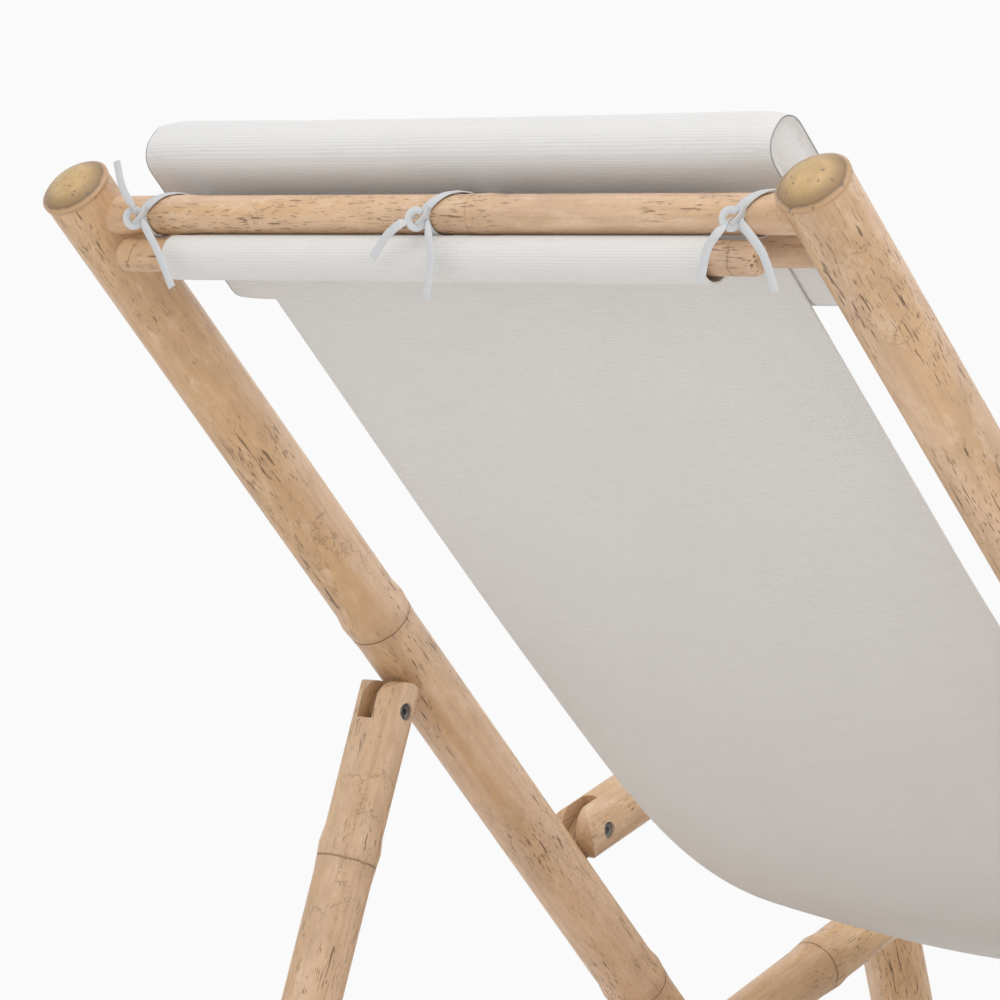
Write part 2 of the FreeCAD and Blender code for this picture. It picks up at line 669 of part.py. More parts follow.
def ground_bar():
    """Rear bar that the chair rests on, planed flat underneath."""
    forward, height = ground_bar_spot
    end = seat_x + radius("seat_rail_diameter")
    world = frame(forward, height, 90)
    bar = cross_bore("ground_bar_round", "ground_bar_diameter", world, 0, 0, -end, end)
    low = at(world, -end, -radius("ground_bar_diameter"), -height - size("ground_bar_flat"))
    planed = block("ground_bar_plane", f"{2 * end}", cell("ground_bar_diameter"),
                   cell("ground_bar_flat"), low)
    tools = [planed]
    for side, sign in SIDES:
        tools.append(ground_lag("ground_bar_" + side, sign * seat_x))
    node("ground_bar", cut("ground_bar", bar, tools))


def ground_lag(name, x):
    """Lag screw from behind the ground bar into the end of a seat rail."""
    half = radius("ground_bar_diameter")
    placement = at(SEAT, x, 0, ground_reach - half)
    shank = cylinder(name + "_lag", cell("lag_diameter"), cell("lag_length"), placement)
    head = cylinder(name + "_laghead", cell("lag_head_diameter"), cell("pin_head_height"),
                    placement)
    return fuse(name + "_lagscrew", [shank, head])


def cleat_screws(name, x):
    """Countersunk screws that hold a cleat down on its bed."""
    screws = []
    for number, reach in enumerate(screw_reaches):
        top = screw_top(reach)
        down = Rotation(Vector(1, 0, 0), 90)
        place = at(SEAT, x, top, reach, down)
        shank = cylinder(f"{name}_screw{number}", cell("screw_diameter"), cell("screw_length"),
                         place)
        head = cylinder(f"{name}_screwhead{number}", cell("screw_head_diameter"),
                        cell("screw_head_height"), place)
        screws.append(fuse(f"{name}_cleatscrew{number}", [shank, head]))
    return screws


def cleat_top(reach):
    """Top of the cleat above the rail's centre line, behind its stop."""
    seat_of_bar = size("foot_bar_lift") - radius("cross_diameter") - size("notch_gap")
    return seat_of_bar + size("cleat_slope") * (foot_reach - reach)


def screw_top(reach):
    """Top of a cleat screw: just under the face that it enters."""
    face = size("stop_height") if reach > foot_reach else cleat_top(reach)
    return face - 1.0


def notched_cleat(side, x):
    """Hardwood cleat with a front stop and shallow notches for the foot bar."""
    name = f"notch_cleat_{side}"
    body = doc.addObject("PartDesign::Body", name + "_body")
    sketch = body.newObject("Sketcher::SketchObject", name + "_outline")
    sketch.AttachmentSupport = (origin_plane(body, "XY_Plane"), [""])
    sketch.MapMode = "FlatFace"
    corners = [
        Vector(cleat_front, bed_height, 0),
        Vector(cleat_front, size("stop_height"), 0),
        Vector(foot_reach, size("stop_height"), 0),
        Vector(foot_reach, cleat_top(foot_reach), 0),
        Vector(cleat_rear, cleat_top(cleat_rear), 0),
        Vector(cleat_rear, bed_height, 0),
    ]
    count = len(corners)
    for number, corner in enumerate(corners):
        sketch.addGeometry(Part.LineSegment(corner, corners[(number + 1) % count]), False)
    for number in range(count):
        following = (number + 1) % count
        sketch.addConstraint(Sketcher.Constraint("Coincident", number, 2, following, 1))
    for upright in (0, 2, 4):
        sketch.addConstraint(Sketcher.Constraint("Vertical", upright))
    for level in (1, 5):
        sketch.addConstraint(Sketcher.Constraint("Horizontal", level))
    bed = f"{cell('seat_rail_diameter')} / 2 - {cell('cleat_bed')}"
    bind(sketch, "DistanceY", (-1, 1, 0, 1, bed_height), bed)
    bind(sketch, "DistanceY", (-1, 1, 1, 1, size("stop_height")), cell("stop_height"))
    pad = body.newObject("PartDesign::Pad", name + "_pad")
    pad.Profile = sketch
    pad.setExpression("Length", cell("cleat_width"))
    pad.Midplane = True
    doc.recompute()
    turn = Rotation(Vector(0, 0, 1), Vector(0, 1, 0), Vector(-1, 0, 0), "ZXY")
    body.Placement = at(SEAT, x, 0, 0, turn)
    tools = []
    half = size("cleat_width") / 2
    grow = size("notch_gap")
    for number, reach in enumerate(notch_reaches):
        tools.append(cross_bore(f"{name}_notch{number}", "cross_diameter", SEAT,
                                size("foot_bar_lift"), reach, x - half, x + half, grow))
    tools += cleat_screws(name, x)
    node(name, cut(name, body, tools))


def seat_fixings():
    """Cleat screws and ground bar screws, grouped by kind."""
    screws = []
    lags = []
    for side, sign in SIDES:
        screws += cleat_screws("fixing_" + side, sign * seat_x)
        lags.append(ground_lag("fixing_" + side, sign * seat_x))
    group("cleat_screw_set", screws)
    group("ground_bar_screws", lags)


def pivot_hardware():
    """Bolts, washers and nuts of the back pivot and of the leg pivots."""
    back_bolts, leg_bolts, back_washers, leg_washers, nuts = [], [], [], [], []
    for side, sign in SIDES:
        outer = sign * half_spacing
        inner = sign * seat_x
        for kind, reach, alias in (("back", 0, "rail_diameter"),
                                   ("leg", size("leg_pivot_reach"), "leg_diameter")):
            name = f"{kind}_bolt_{side}"
            head_top = outer + sign * (radius(alias) - size("pivot_head_sink"))
            head_foot = head_top - sign * size("pivot_head_height")
            nut_face = radius("seat_rail_diameter") - size("nut_sink") + size("nut_height")
            tail = seat_x - radius("seat_rail_diameter") - size("pivot_thread")
            end = sign * tail if kind == "back" else inner - sign * nut_face
            shank = cross_bore(name + "_shank", "pivot_diameter", SEAT, 0, reach, head_top, end)
            head = cross_bore(name + "_head", "pivot_head_diameter", SEAT, 0, reach,
                              head_top, head_foot)
            socket = cross_bore(name + "_socket", "pin_diameter", SEAT, 0, reach,
                                head_top, head_top - sign * size("socket_depth"))
            bolt = cut(name, fuse(name + "_solid", [shank, head]), [socket])
            (back_bolts if kind == "back" else leg_bolts).append(bolt)
            washer = pivot_washer(f"{kind}_washer_{side}", alias, sign, reach)
            (back_washers if kind == "back" else leg_washers).append(washer)
        floor = inner - sign * (radius("seat_rail_diameter") - size("nut_sink"))
        nuts.append(hex_nut(f"leg_nut_{side}", floor, sign))
    group("back_pivot_bolts", back_bolts)
    group("leg_pivot_bolts", leg_bolts)
    group("back_pivot_washers", back_washers)
    group("leg_pivot_washers", leg_washers)
    group("leg_pivot_nuts", nuts)


def pivot_washer(name, outer_alias, sign, reach):
    """Washer that keeps two crossing culms apart, on the seat frame's side."""
    near = sign * (seat_x + radius("seat_rail_diameter"))
    far = sign * (half_spacing - radius(outer_alias) - size("touch_gap"))
    disc = cross_bore(name + "_disc", "washer_diameter", SEAT, 0, reach, near, far)
    hole = cross_bore(name + "_hole", "pivot_diameter", SEAT, 0, reach, near, far)
    return cut(name, disc, [hole])


def hex_nut(name, floor, sign):
    """Nut on a leg pivot bolt, inside the seat rail."""
    prism = doc.addObject("Part::Prism", name + "_prism")
    prism.Polygon = 6
    prism.setExpression("Circumradius", f"{cell('nut_width')} / 2")
    prism.setExpression("Height", cell("nut_height"))
    low = min(floor, floor - sign * size("nut_height"))
    prism.Placement = at(SEAT, low, 0, size("leg_pivot_reach"), ALONG_X)
    hole = cross_bore(name + "_thread", "pivot_diameter", SEAT, 0, size("leg_pivot_reach"),
                      floor, floor - sign * size("nut_height"))
    return cut(name, prism, [hole])


# Struts

def struts():
    """Forked struts, the foot bar between them and their hinge pins."""
    screws, nuts = [], []
    for side, sign in SIDES:
        name = f"strut_{side}"
        x = sign * strut_x
        end = strut_length + size("strut_tail")
        pole = culm(name, "strut_diameter", STRUT, x, 0, end, (STRUT_NODE_STATION,), TURNED)
        tip = fork_end(name, "strut_diameter", STRUT, x, 0, -1)
        screw, nut, holes = pin_parts(name, "strut_diameter", STRUT, x, 0, -sign)
        screws.append(screw)
        nuts.append(nut)
        tools = [fork_slot(name, "strut_diameter", STRUT, x, 0, -1)] + holes
        tools += mortises(name, STRUT, "strut_diameter", strut_x, sign, [(0, strut_length)])
        node(name, cut(name, fuse(name + "_whole", [pole, tip]), tools))
    cross_rail("strut_foot_bar", "cross_diameter", STRUT, 0, strut_length,
               "strut_diameter", strut_x, (-120.0, 90.0))
    group("strut_hinge_screws", screws)
    group("strut_hinge_nuts", nuts)


# Armrests

def armrests():
    """Bamboo armrests, forked at both ends."""
    sets = {"arm_rear_screws": [], "arm_rear_nuts": [], "arm_front_screws": [],
            "arm_front_nuts": []}
    length = size("leg_pivot_reach")
    for side, sign in SIDES:
        name = f"armrest_{side}"
        x = sign * half_spacing
        pole = culm(name, "arm_diameter", ARM, x, 0, length, (ARM_NODE_STATION,))
        pieces = [pole]
        tools = []
        for end, z, outward in (("rear", 0, -1), ("front", length, 1)):
            end_name = f"{name}_{end}"
            pieces.append(fork_end(end_name, "arm_diameter", ARM, x, z, outward))
            tools.append(fork_slot(end_name, "arm_diameter", ARM, x, z, outward))
            screw, nut, holes = pin_parts(end_name, "arm_diameter", ARM, x, z, -sign)
            tools += holes
            sets[f"arm_{end}_screws"].append(screw)
            sets[f"arm_{end}_nuts"].append(nut)
        node(name, cut(name, fuse(name + "_whole", pieces), tools))
    for name, pieces in sets.items():
        group(name, pieces)


# Front legs

def front_legs():
    """Front legs with their plugs and tongues, and the stretcher between them."""
    foot_reach_down = leg_pivot[1] / math.sin(math.radians(leg_heading))
    below = foot_reach_down + size("leg_diameter")
    for side, sign in SIDES:
        name = f"front_leg_{side}"
        x = sign * half_spacing
        head = leg_hinge_reach + size("leg_head")
        pole = culm(name, "leg_diameter", LEG, x, -below, head, LEG_NODE_STATIONS)
        _, bore = cap(f"leg_cap_{side}", "leg_cap_diameter", LEG, x, head)
        tools = [bore]
        tools += pivot_hole(name, "leg_diameter", LEG, x, sign)
        tools += mortises(name, LEG, "leg_diameter", half_spacing, sign,
                          [(0, -size("stretcher_drop"))])
        tools.append(tongue_mortise(name + "_arm", LEG, x, 1, leg_hinge_reach))
        wide = size("leg_diameter") * 4
        ground = frame(leg_pivot[0], 0, 90)
        corner = at(ground, x - wide / 2, -wide, -wide)
        tools.append(block(name + "_ground", f"{wide}", f"{2 * wide}", f"{wide}", corner))
        node(name, cut(name, pole, tools))
        tongue(f"leg_tongue_{side}", LEG, x, 1, leg_offset, leg_hinge_reach)
    cross_rail("leg_stretcher", "cross_diameter", LEG, 0, -size("stretcher_drop"),
               "leg_diameter", half_spacing, (-150.0, 40.0))


# Sling: ribbons of lines and arcs in the side view

def leave(point, heading, offset):
    """Point beside a path, to the left of its heading."""
    return plus(point, polar(offset, heading + 90))


def walk(start, heading, moves, offset):
    """Edges beside a path, and where it ends.

    A move is ("line", length) or ("arc", radius, turn); a positive turn goes left.
    """
    def spot(point, direction):
        forward, height = leave(point, direction, offset)
        return Vector(0, -forward, height)

    edges = []
    point = start
    for move in moves:
        if move[0] == "line":
            following = plus(point, polar(move[1], heading))
            ends = (spot(point, heading), spot(following, heading))
            edges.append(Part.LineSegment(*ends).toShape())
            point = following
            continue
        _, bend, turn = move
        side = 90 if turn > 0 else -90
        centre = plus(point, polar(bend, heading + side))
        stops = []
        for share in (0.0, 0.5, 1.0):
            direction = heading + turn * share
            stops.append((plus(centre, polar(bend, direction - side)), direction))
        marks = [spot(*stop) for stop in stops]
        edges.append(Part.Arc(*marks).toShape())
        point, heading = stops[-1]
    return edges, point, heading


def ribbon(start, heading, moves, width, thickness):
    """Flat band of even thickness whose middle follows a path."""
    left, _, _ = walk(start, heading, moves, thickness / 2)
    right, _, _ = walk(start, heading, moves, -thickness / 2)
    first = Part.LineSegment(right[0].firstVertex().Point, left[0].firstVertex().Point)
    last = Part.LineSegment(left[-1].lastVertex().Point, right[-1].lastVertex().Point)
    outline = [first.toShape()] + left + [last.toShape()] + list(reversed(right))
    wire = Part.Wire(Part.__sortEdges__(outline))
    face = Part.Face(wire)
    face.translate(Vector(-width / 2, 0, 0))
    return face.extrude(Vector(width, 0, 0))


def feature(name, shape, placement=None):
    """Piece whose solid is worked out directly from the sheet's sizes."""
    piece = doc.addObject("Part::Feature", name)
    piece.Shape = shape
    piece.Placement = placement or Placement()
    return node(name, piece)


def bearing(point_from, point_to):
    """Distance and heading from one point to another."""
    forward = point_to[0] - point_from[0]
    height = point_to[1] - point_from[1]
    return math.hypot(forward, height), math.degrees(math.atan2(height, forward))


def crossing_heading(first, second, reach, first_side):
    """Heading of the line that leaves one circle and passes to the other side of the next.

    first_side is +1 where the path turns left round the first circle.
    """
    distance, heading = bearing(first, second)
    return heading + first_side * math.degrees(math.asin(reach / distance))


wrap_radius = radius("guide_diameter") + size("touch_gap") + size("sling_thickness") / 2
strap_room = size("tie_thickness") + 2 * size("touch_gap")
pocket_out = size("pocket_radius") + size("sling_thickness") / 2


def end_spots(base, y_sign, reach, rail_alias):
    """Guide rail and hem pocket centres at one end of the sling.

    y_sign is the side of the frame, along its Y, that the sling lies on.
    """
    pocket_span = radius(rail_alias) + pocket_out + strap_room
    pocket_back = math.sqrt(pocket_span ** 2 - size("pocket_drop") ** 2)
    guide = side_point(base, y_sign * size("guide_lift"), reach - size("guide_step"))
    pocket = side_point(base, -y_sign * pocket_back, reach - size("pocket_drop"))
    return guide, pocket


def path_length(start, finish, first_radius, second_radius, heading):
    """Length of the straight run between two circles that a path turns round."""
    distance, _ = bearing(start, finish)
    return math.sqrt(distance ** 2 - (first_radius + second_radius) ** 2)


def top_sling():
    """Sling from its top hem pocket, over the guide rail and down the back."""
    guide, pocket = end_spots(BACK, -1, top_reach, "top_rail_diameter")
    bend = size("pocket_radius")
    slit_heading = crossing_heading(pocket, guide, bend + wrap_radius, 1)
    slit = path_length(pocket, guide, bend, wrap_radius, slit_heading)
    down = -size("back_rise")
    sweep = size("pocket_sweep")
    start_heading = slit_heading - sweep
    start = plus(pocket, polar(bend, start_heading - 90))
    straight = guide_reach - size("bow_reach")
    moves = [("arc", bend, sweep), ("line", slit), ("arc", wrap_radius, down - slit_heading),
             ("line", straight), ("arc", size("bow_radius"), size("bow_turn"))]
    band = ribbon(start, start_heading, moves, size("sling_width"), size("sling_thickness"))
    feature("sling_back", band)
    _, loin, loin_heading = walk(start, start_heading, moves, 0)
    hem_dowel("sling_top_dowel", pocket, slit_heading, "dowel_length")
    return loin, loin_heading


def hem_dowel(name, pocket, pull, length_alias):
    """Loose dowel, drawn against the side of its pocket that the sling leaves from."""
    play = size("pocket_radius") - size("sling_thickness") / 2 - radius("dowel_diameter")
    spot = plus(pocket, polar(play - size("touch_gap"), pull))
    world = frame(*spot, 90)
    half = size(length_alias) / 2
    middle = size("dowel_shift") if length_alias == "dowel_length" else 0.0
    bar = cross_bore(name + "_bar", "dowel_diameter", world, 0, 0, middle - half, middle + half)
    doc.recompute()
    rounded = doc.addObject("Part::Fillet", name)
    rounded.Base = bar
    rims = []
    for number, edge in enumerate(bar.Shape.Edges, start=1):
        if isinstance(edge.Curve, Part.Circle):
            rims.append((number, size("dowel_rounding"), size("dowel_rounding")))
    rounded.Edges = rims
    return node(name, rounded)


def seat_sling(loin, heading):
    """Sling round the hip, under the sitter, over the front guide and into its pocket."""
    gap = size("sling_break")
    loin_bend, loin_turn = size("loin_radius"), size("loin_turn")
    hip_bend, hip_turn = size("hip_radius"), size("hip_turn")
    loin_gap = math.degrees(gap / loin_bend)
    hip_gap = math.degrees(gap / hip_bend)
    _, hip_start, hip_heading = walk(loin, heading, [("arc", loin_bend, loin_gap)], 0)
    hip_moves = [("arc", loin_bend, loin_turn - loin_gap), ("arc", hip_bend, hip_turn - hip_gap)]
    width, thick = size("sling_width"), size("sling_thickness")
    feature("sling_hip", ribbon(hip_start, hip_heading, hip_moves, width, thick))
    whole_hip = [("arc", loin_bend, loin_turn), ("arc", hip_bend, hip_turn)]
    _, start, heading = walk(loin, heading, whole_hip, 0)
    turn = size("seat_turn")
    knee_reach = size("seat_reach") - size("knee_setback")
    start_reach = SEAT.inverse().multVec(Vector(0, -start[0], start[1])).z
    lean = math.radians(heading + turn / 2 - seat_heading)
    chord = (knee_reach - start_reach) / math.cos(lean)
    seat_bend = chord / (2 * math.sin(math.radians(turn) / 2))
    moves = [("arc", seat_bend, turn)]
    _, knee, knee_heading = walk(start, heading, moves, 0)
    guide, pocket = end_spots(SEAT, 1, front_reach, "cross_diameter")
    knee_bend = size("knee_radius")
    knee_centre = plus(knee, polar(knee_bend, knee_heading + 90))
    rise = crossing_heading(knee_centre, guide, knee_bend + wrap_radius, 1)
    moves.append(("arc", knee_bend, rise - knee_heading))
    moves.append(("line", path_length(knee_centre, guide, knee_bend, wrap_radius, rise)))
    bend = size("pocket_radius")
    slit_heading = crossing_heading(guide, pocket, wrap_radius + bend, -1)
    moves.append(("arc", wrap_radius, slit_heading - rise))
    moves.append(("line", path_length(guide, pocket, wrap_radius, bend, slit_heading)))
    moves.append(("arc", bend, size("pocket_sweep")))
    feature("sling_seat", ribbon(start, heading, moves, width, thick))
    hem_dowel("sling_front_dowel", pocket, slit_heading + 180, "front_dowel_length")


# Headrest pillow and its ties

def rounded_outline(x, low, high, back, front, corner):
    """Rounded rectangle across the back frame's X, as lines and arcs."""
    edges = []
    corners = [(back, low), (front, low), (front, high), (back, high)]
    inward = [(1, 1), (-1, 1), (-1, -1), (1, -1)]
    marks = []
    for (v, u), (v_in, u_in) in zip(corners, inward):
        diagonal = corner * (1 - math.sqrt(0.5))
        along_v = (v + v_in * corner, u)
        along_u = (v, u + u_in * corner)
        middle = (v + v_in * diagonal, u + u_in * diagonal)
        marks.append((along_u, middle, along_v) if v_in == u_in else (along_v, middle, along_u))
    count = len(marks)
    for number in range(count):
        entry, middle, leaving = [Vector(x, -v, u) for v, u in marks[number]]
        following = Vector(x, -marks[(number + 1) % count][0][0], marks[(number + 1) % count][0][1])
        edges.append(Part.Arc(entry, middle, leaving).toShape())
        edges.append(Part.LineSegment(leaving, following).toShape())
    return Part.Wire(edges)


pillow_back = size("guide_lift") + wrap_radius + size("sling_thickness") / 2 + size("touch_gap")


def headrest_pillow():
    """Boxed pillow in front of the sling, fuller in the middle than at its ends."""
    half = size("pillow_width") / 2
    middle = top_reach - size("pillow_drop")
    sections = []
    for share in (-1.0, -0.94, -0.5, 0.0, 0.5, 0.94, 1.0):
        swell = size("pillow_crown") * math.cos(share * math.pi / 2)
        drawn = size("pillow_draw") * abs(share) ** 8
        front = pillow_back + size("pillow_thickness") + swell - drawn
        tall = size("pillow_height") / 2 - drawn
        corner = size("pillow_corner") + swell * 0.8
        sections.append(rounded_outline(size("pillow_shift") + share * half, middle - tall,
                                        middle + tall, pillow_back, front, corner))
    shape = Part.makeLoft(sections, True, False)
    feature("headrest_pillow", shape, BACK)


def pillow_ties():
    """Flat ties that hold the pillow to the top rail, each knotted behind it."""
    for number, (name, ends) in enumerate(TIE_ENDS.items()):
        x = size("tie_shift") + (1 - number) * size("tie_spacing")
        pillow_tie(f"pillow_tie_{name}", x, ends)


def pillow_tie(name, x, ends):
    """Band round the top rail, strap to the pillow, knot and two hanging ends."""
    width, thick = size("tie_width"), size("tie_thickness")
    rail = radius("top_rail_diameter") + size("touch_gap")
    reach = top_reach
    low = x - width / 2
    outer = Part.makeCylinder(rail + thick, width)
    inner = Part.makeCylinder(rail, width)
    band = outer.cut(inner)
    band.Placement = at(BACK, low, 0, reach, ALONG_X)
    strap_end = pillow_back - size("touch_gap")
    strap = Part.makeBox(width, strap_end - rail - thick / 2, thick)
    strap.Placement = at(BACK, low, -strap_end, reach)
    hub = side_point(BACK, 0, reach)
    knot_spot = plus(hub, (-(rail + thick / 2 + size("knot_strand")), 0))
    knot = Part.makeTorus(size("knot_radius"), size("knot_strand"))
    knot.Placement = Placement(Vector(x, -knot_spot[0], knot_spot[1]),
                               Rotation(Vector(1, 0, 0), 90))
    pieces = [band, strap, knot]
    bend, lead = size("tie_bend"), size("tie_lead")
    drop = polar(lead, 45)[1] + polar(bend, 45)[1]
    for lean, length in ends:
        moves = [("line", lead), ("arc", bend, 45.0), ("line", length - drop)]
        tail = ribbon(knot_spot, 225.0, moves, width, thick)
        tail.rotate(Vector(0, -knot_spot[0], knot_spot[1]), Vector(0, 1, 0), lean)
        tail.translate(Vector(x, 0, 0))
        pieces.append(tail)
    whole = pieces[0].multiFuse(pieces[1:])
    feature(name, whole)


def check_and_export():
    """Stop on a failed object or a bad solid, then write one file for each piece."""
    doc.recompute()
    for item in doc.Objects:
        if "Invalid" in item.State or "Error" in item.State:
            raise RuntimeError(f"{item.Name} failed: {item.State}")
    for name, piece in NODES.items():
        if piece.Shape.isNull() or not piece.Shape.isValid() or not piece.Shape.Solids:
            raise RuntimeError(f"{name} has no valid solid")
    os.makedirs("parts", exist_ok=True)
    for name, piece in NODES.items():
        piece.Shape.exportStep(f"parts/{name}.step")


back_rails()
back_cross_rails()
back_tongues()
seat_rails()
seat_cross_rails()
ground_bar()
for cleat_side, cleat_sign in SIDES:
    notched_cleat(cleat_side, cleat_sign * seat_x)
seat_fixings()
pivot_hardware()
struts()
armrests()
front_legs()
hip_spot, hip_heading = top_sling()
seat_sling(hip_spot, hip_heading)
headrest_pillow()
pillow_ties()
check_and_export()
print(f"strut length {strut_length:.1f}, foot at {foot_reach:.1f} along the seat rail")
print(f"leg heading {leg_heading:.2f}, armrest hinge {leg_hinge_reach:.1f} up the leg")
print(f"{len(NODES)} nodes")
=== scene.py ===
"""Looks of a bamboo folding recliner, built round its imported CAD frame.

Metres. +Z is up and the sitter faces -Y. The canvas sling, the pillow and its
ties are modelled here; the bamboo, wood and steel pieces come from the frame
and get their finishes.
"""

import math

import bpy
from bpy.props import FloatProperty, FloatVectorProperty, IntProperty, PointerProperty
from bpy.types import Operator, Panel, PropertyGroup
from mathutils import Matrix, Vector, noise


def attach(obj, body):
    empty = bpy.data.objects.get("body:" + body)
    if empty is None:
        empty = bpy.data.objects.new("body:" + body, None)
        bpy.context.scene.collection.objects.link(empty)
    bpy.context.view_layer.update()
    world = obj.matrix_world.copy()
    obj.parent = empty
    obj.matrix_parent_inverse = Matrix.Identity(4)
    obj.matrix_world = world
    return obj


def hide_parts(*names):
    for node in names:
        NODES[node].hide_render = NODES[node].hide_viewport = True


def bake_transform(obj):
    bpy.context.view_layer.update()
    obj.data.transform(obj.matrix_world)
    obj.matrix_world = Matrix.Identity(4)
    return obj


bl_info = {
    "name": "Bamboo folding recliner",
    "version": (1, 0, 0),
    "blender": (4, 5, 0),
    "location": "View3D > Sidebar > Recliner",
    "description": "Canvas, pillow, ties and finishes of a bamboo folding recliner",
    "category": "Object",
}

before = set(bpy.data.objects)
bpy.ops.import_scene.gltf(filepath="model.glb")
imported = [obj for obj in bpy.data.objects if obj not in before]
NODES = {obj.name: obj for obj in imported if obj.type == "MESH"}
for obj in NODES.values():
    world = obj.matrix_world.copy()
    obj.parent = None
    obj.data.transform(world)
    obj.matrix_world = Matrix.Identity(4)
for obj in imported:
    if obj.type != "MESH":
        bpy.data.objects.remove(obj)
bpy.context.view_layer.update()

PIVOT = Vector((0.0, -0.03915, 0.225))
BACK_RISE = math.radians(44.5)
SEAT_RISE = math.radians(18.0)
UP_BACK = Vector((0.0, math.cos(BACK_RISE), math.sin(BACK_RISE)))
BACK_FRONT = Vector((0.0, -math.sin(BACK_RISE), math.cos(BACK_RISE)))
ALONG_SEAT = Vector((0.0, -math.cos(SEAT_RISE), math.sin(SEAT_RISE)))
SEAT_TOP = Vector((0.0, math.sin(SEAT_RISE), math.cos(SEAT_RISE)))
ACROSS = Vector((1.0, 0.0, 0.0))
UP = Vector((0.0, 0.0, 1.0))
BACK = Vector((0.0, 1.0, 0.0))

# Headings in side view, in degrees: 0 is forward, 90 is up.
LEG_HEADING = 108.30
STRUT_HEADING = 270 - 21.885

CAMERA_PLACE = (-1.95866, 2.99546, 0.85476)
CAMERA_DOWN = 3.2288
CAMERA_HEADING = 180 + 38.6745
CAMERA_LENS = 175.493
BACKDROP = (0.956, 0.956, 0.956, 1.0)
WORLD_STRENGTH = 0.86

# The sling's middle line in side view: forward and up in metres, then its runs and bends.
SLING_START = (-0.60144, 0.83108)
SLING_HEADING = -279.656
SLING_MOVES = (
    ("bend", 0.0140, 325.0),
    ("run", 0.03678),
    ("bend", 0.0131, -89.844),
    ("run", 0.2675),
    ("bend", 5.300, 3.2),
    ("bend", 1.140, 4.0),
    ("bend", 0.480, 20.5),
    ("bend", 3.7358, 5.3),
    ("bend", 0.105, 79.088),
    ("run", 0.11164),
    ("bend", 0.0131, -139.438),
    ("run", 0.03817),
    ("bend", 0.0140, 325.0),
)
SLING_COLUMNS = 44
# Lengths near its ends where the sling is held, then how far it takes to hang free.
HELD_TOP, HELD_FRONT, EASE = 0.20, 0.22, 0.25
SAG, NARROWING, RIPPLE = 0.0045, 0.006, 0.0012


class ReclinerSizes(PropertyGroup):
    """Sizes of the cloth pieces"""

    sling_width: FloatProperty(
        name="Sling width", description="Canvas from edge to edge",
        default=0.440, min=0.3, max=0.5, unit="LENGTH")
    canvas_thickness: FloatProperty(
        name="Canvas thickness", description="Thickness of the sling's cloth",
        default=0.0015, min=0.0005, max=0.003, unit="LENGTH")
    pillow_width: FloatProperty(
        name="Pillow width", description="Headrest pillow from end to end",
        default=0.511, min=0.3, max=0.6, unit="LENGTH")
    pillow_height: FloatProperty(
        name="Pillow height", description="Headrest pillow along the back",
        default=0.150, min=0.08, max=0.25, unit="LENGTH")
    pillow_thickness: FloatProperty(
        name="Pillow thickness", description="Headrest pillow at its boxed ends",
        default=0.040, min=0.02, max=0.1, unit="LENGTH")
    pillow_reach: FloatProperty(
        name="Pillow reach", description="Back pivot to the pillow's middle, along the rail",
        default=0.8645, min=0.6, max=1.0, unit="LENGTH")
    pillow_shift: FloatProperty(
        name="Pillow shift", description="Pillow's middle, towards the sitter's left",
        default=0.0025, min=-0.05, max=0.05, unit="LENGTH")
    pillow_puff: FloatProperty(
        name="Pillow puff", description="How far the filling may push the cover out",
        default=0.009, min=0.0, max=0.03, unit="LENGTH")
    tie_width: FloatProperty(
        name="Tie width", description="Flat cotton tape",
        default=0.007, min=0.003, max=0.02, unit="LENGTH")
    sim_frames: IntProperty(
        name="Simulation frames", description="Frames that the pillow's filling takes to settle",
        default=20, min=1, max=60)


class ReclinerColours(PropertyGroup):
    """Colours of the finishes"""

    bamboo: FloatVectorProperty(
        name="Bamboo", description="Light colour of the poles", subtype="COLOR",
        default=(0.72, 0.50, 0.34), min=0.0, max=1.0)
    bamboo_gold: FloatVectorProperty(
        name="Bamboo gold", description="Golden bands of the poles", subtype="COLOR",
        default=(0.66, 0.42, 0.22), min=0.0, max=1.0)
    bamboo_pale: FloatVectorProperty(
        name="Bamboo pale", description="Palest patches of the poles", subtype="COLOR",
        default=(0.80, 0.61, 0.45), min=0.0, max=1.0)
    bamboo_dark: FloatVectorProperty(
        name="Bamboo shade", description="Darker streaks of the poles", subtype="COLOR",
        default=(0.46, 0.295, 0.18), min=0.0, max=1.0)
    fleck: FloatVectorProperty(
        name="Fleck", description="Dark flecks and cracks", subtype="COLOR",
        default=(0.085, 0.040, 0.018), min=0.0, max=1.0)
    plug: FloatVectorProperty(
        name="Node plug", description="Golden middle of the domed ends", subtype="COLOR",
        default=(0.50, 0.33, 0.145), min=0.0, max=1.0)
    canvas: FloatVectorProperty(
        name="Canvas", description="Sling cloth", subtype="COLOR",
        default=(0.74, 0.725, 0.70), min=0.0, max=1.0)
    pillow: FloatVectorProperty(
        name="Pillow cloth", description="Headrest cover", subtype="COLOR",
        default=(0.76, 0.75, 0.74), min=0.0, max=1.0)
    tie: FloatVectorProperty(
        name="Tie", description="Cotton tape", subtype="COLOR",
        default=(0.63, 0.64, 0.65), min=0.0, max=1.0)
    steel: FloatVectorProperty(
        name="Steel", description="Screws, bolts and nuts", subtype="COLOR",
        default=(0.30, 0.30, 0.295), min=0.0, max=1.0)


def back_point(x, along, front):
    """Point of the back frame: across, up the rails, in front of them."""
    return PIVOT + ACROSS * x + UP_BACK * along + BACK_FRONT * front


def seat_point(x, along, above):
    """Point of the seat frame: across, towards the front, above the rails."""
    return PIVOT + ACROSS * x + ALONG_SEAT * along + SEAT_TOP * above


def heading_vector(heading):
    """Direction in the side plane."""
    angle = math.radians(heading)
    return Vector((0.0, -math.cos(angle), math.sin(angle)))


# Materials

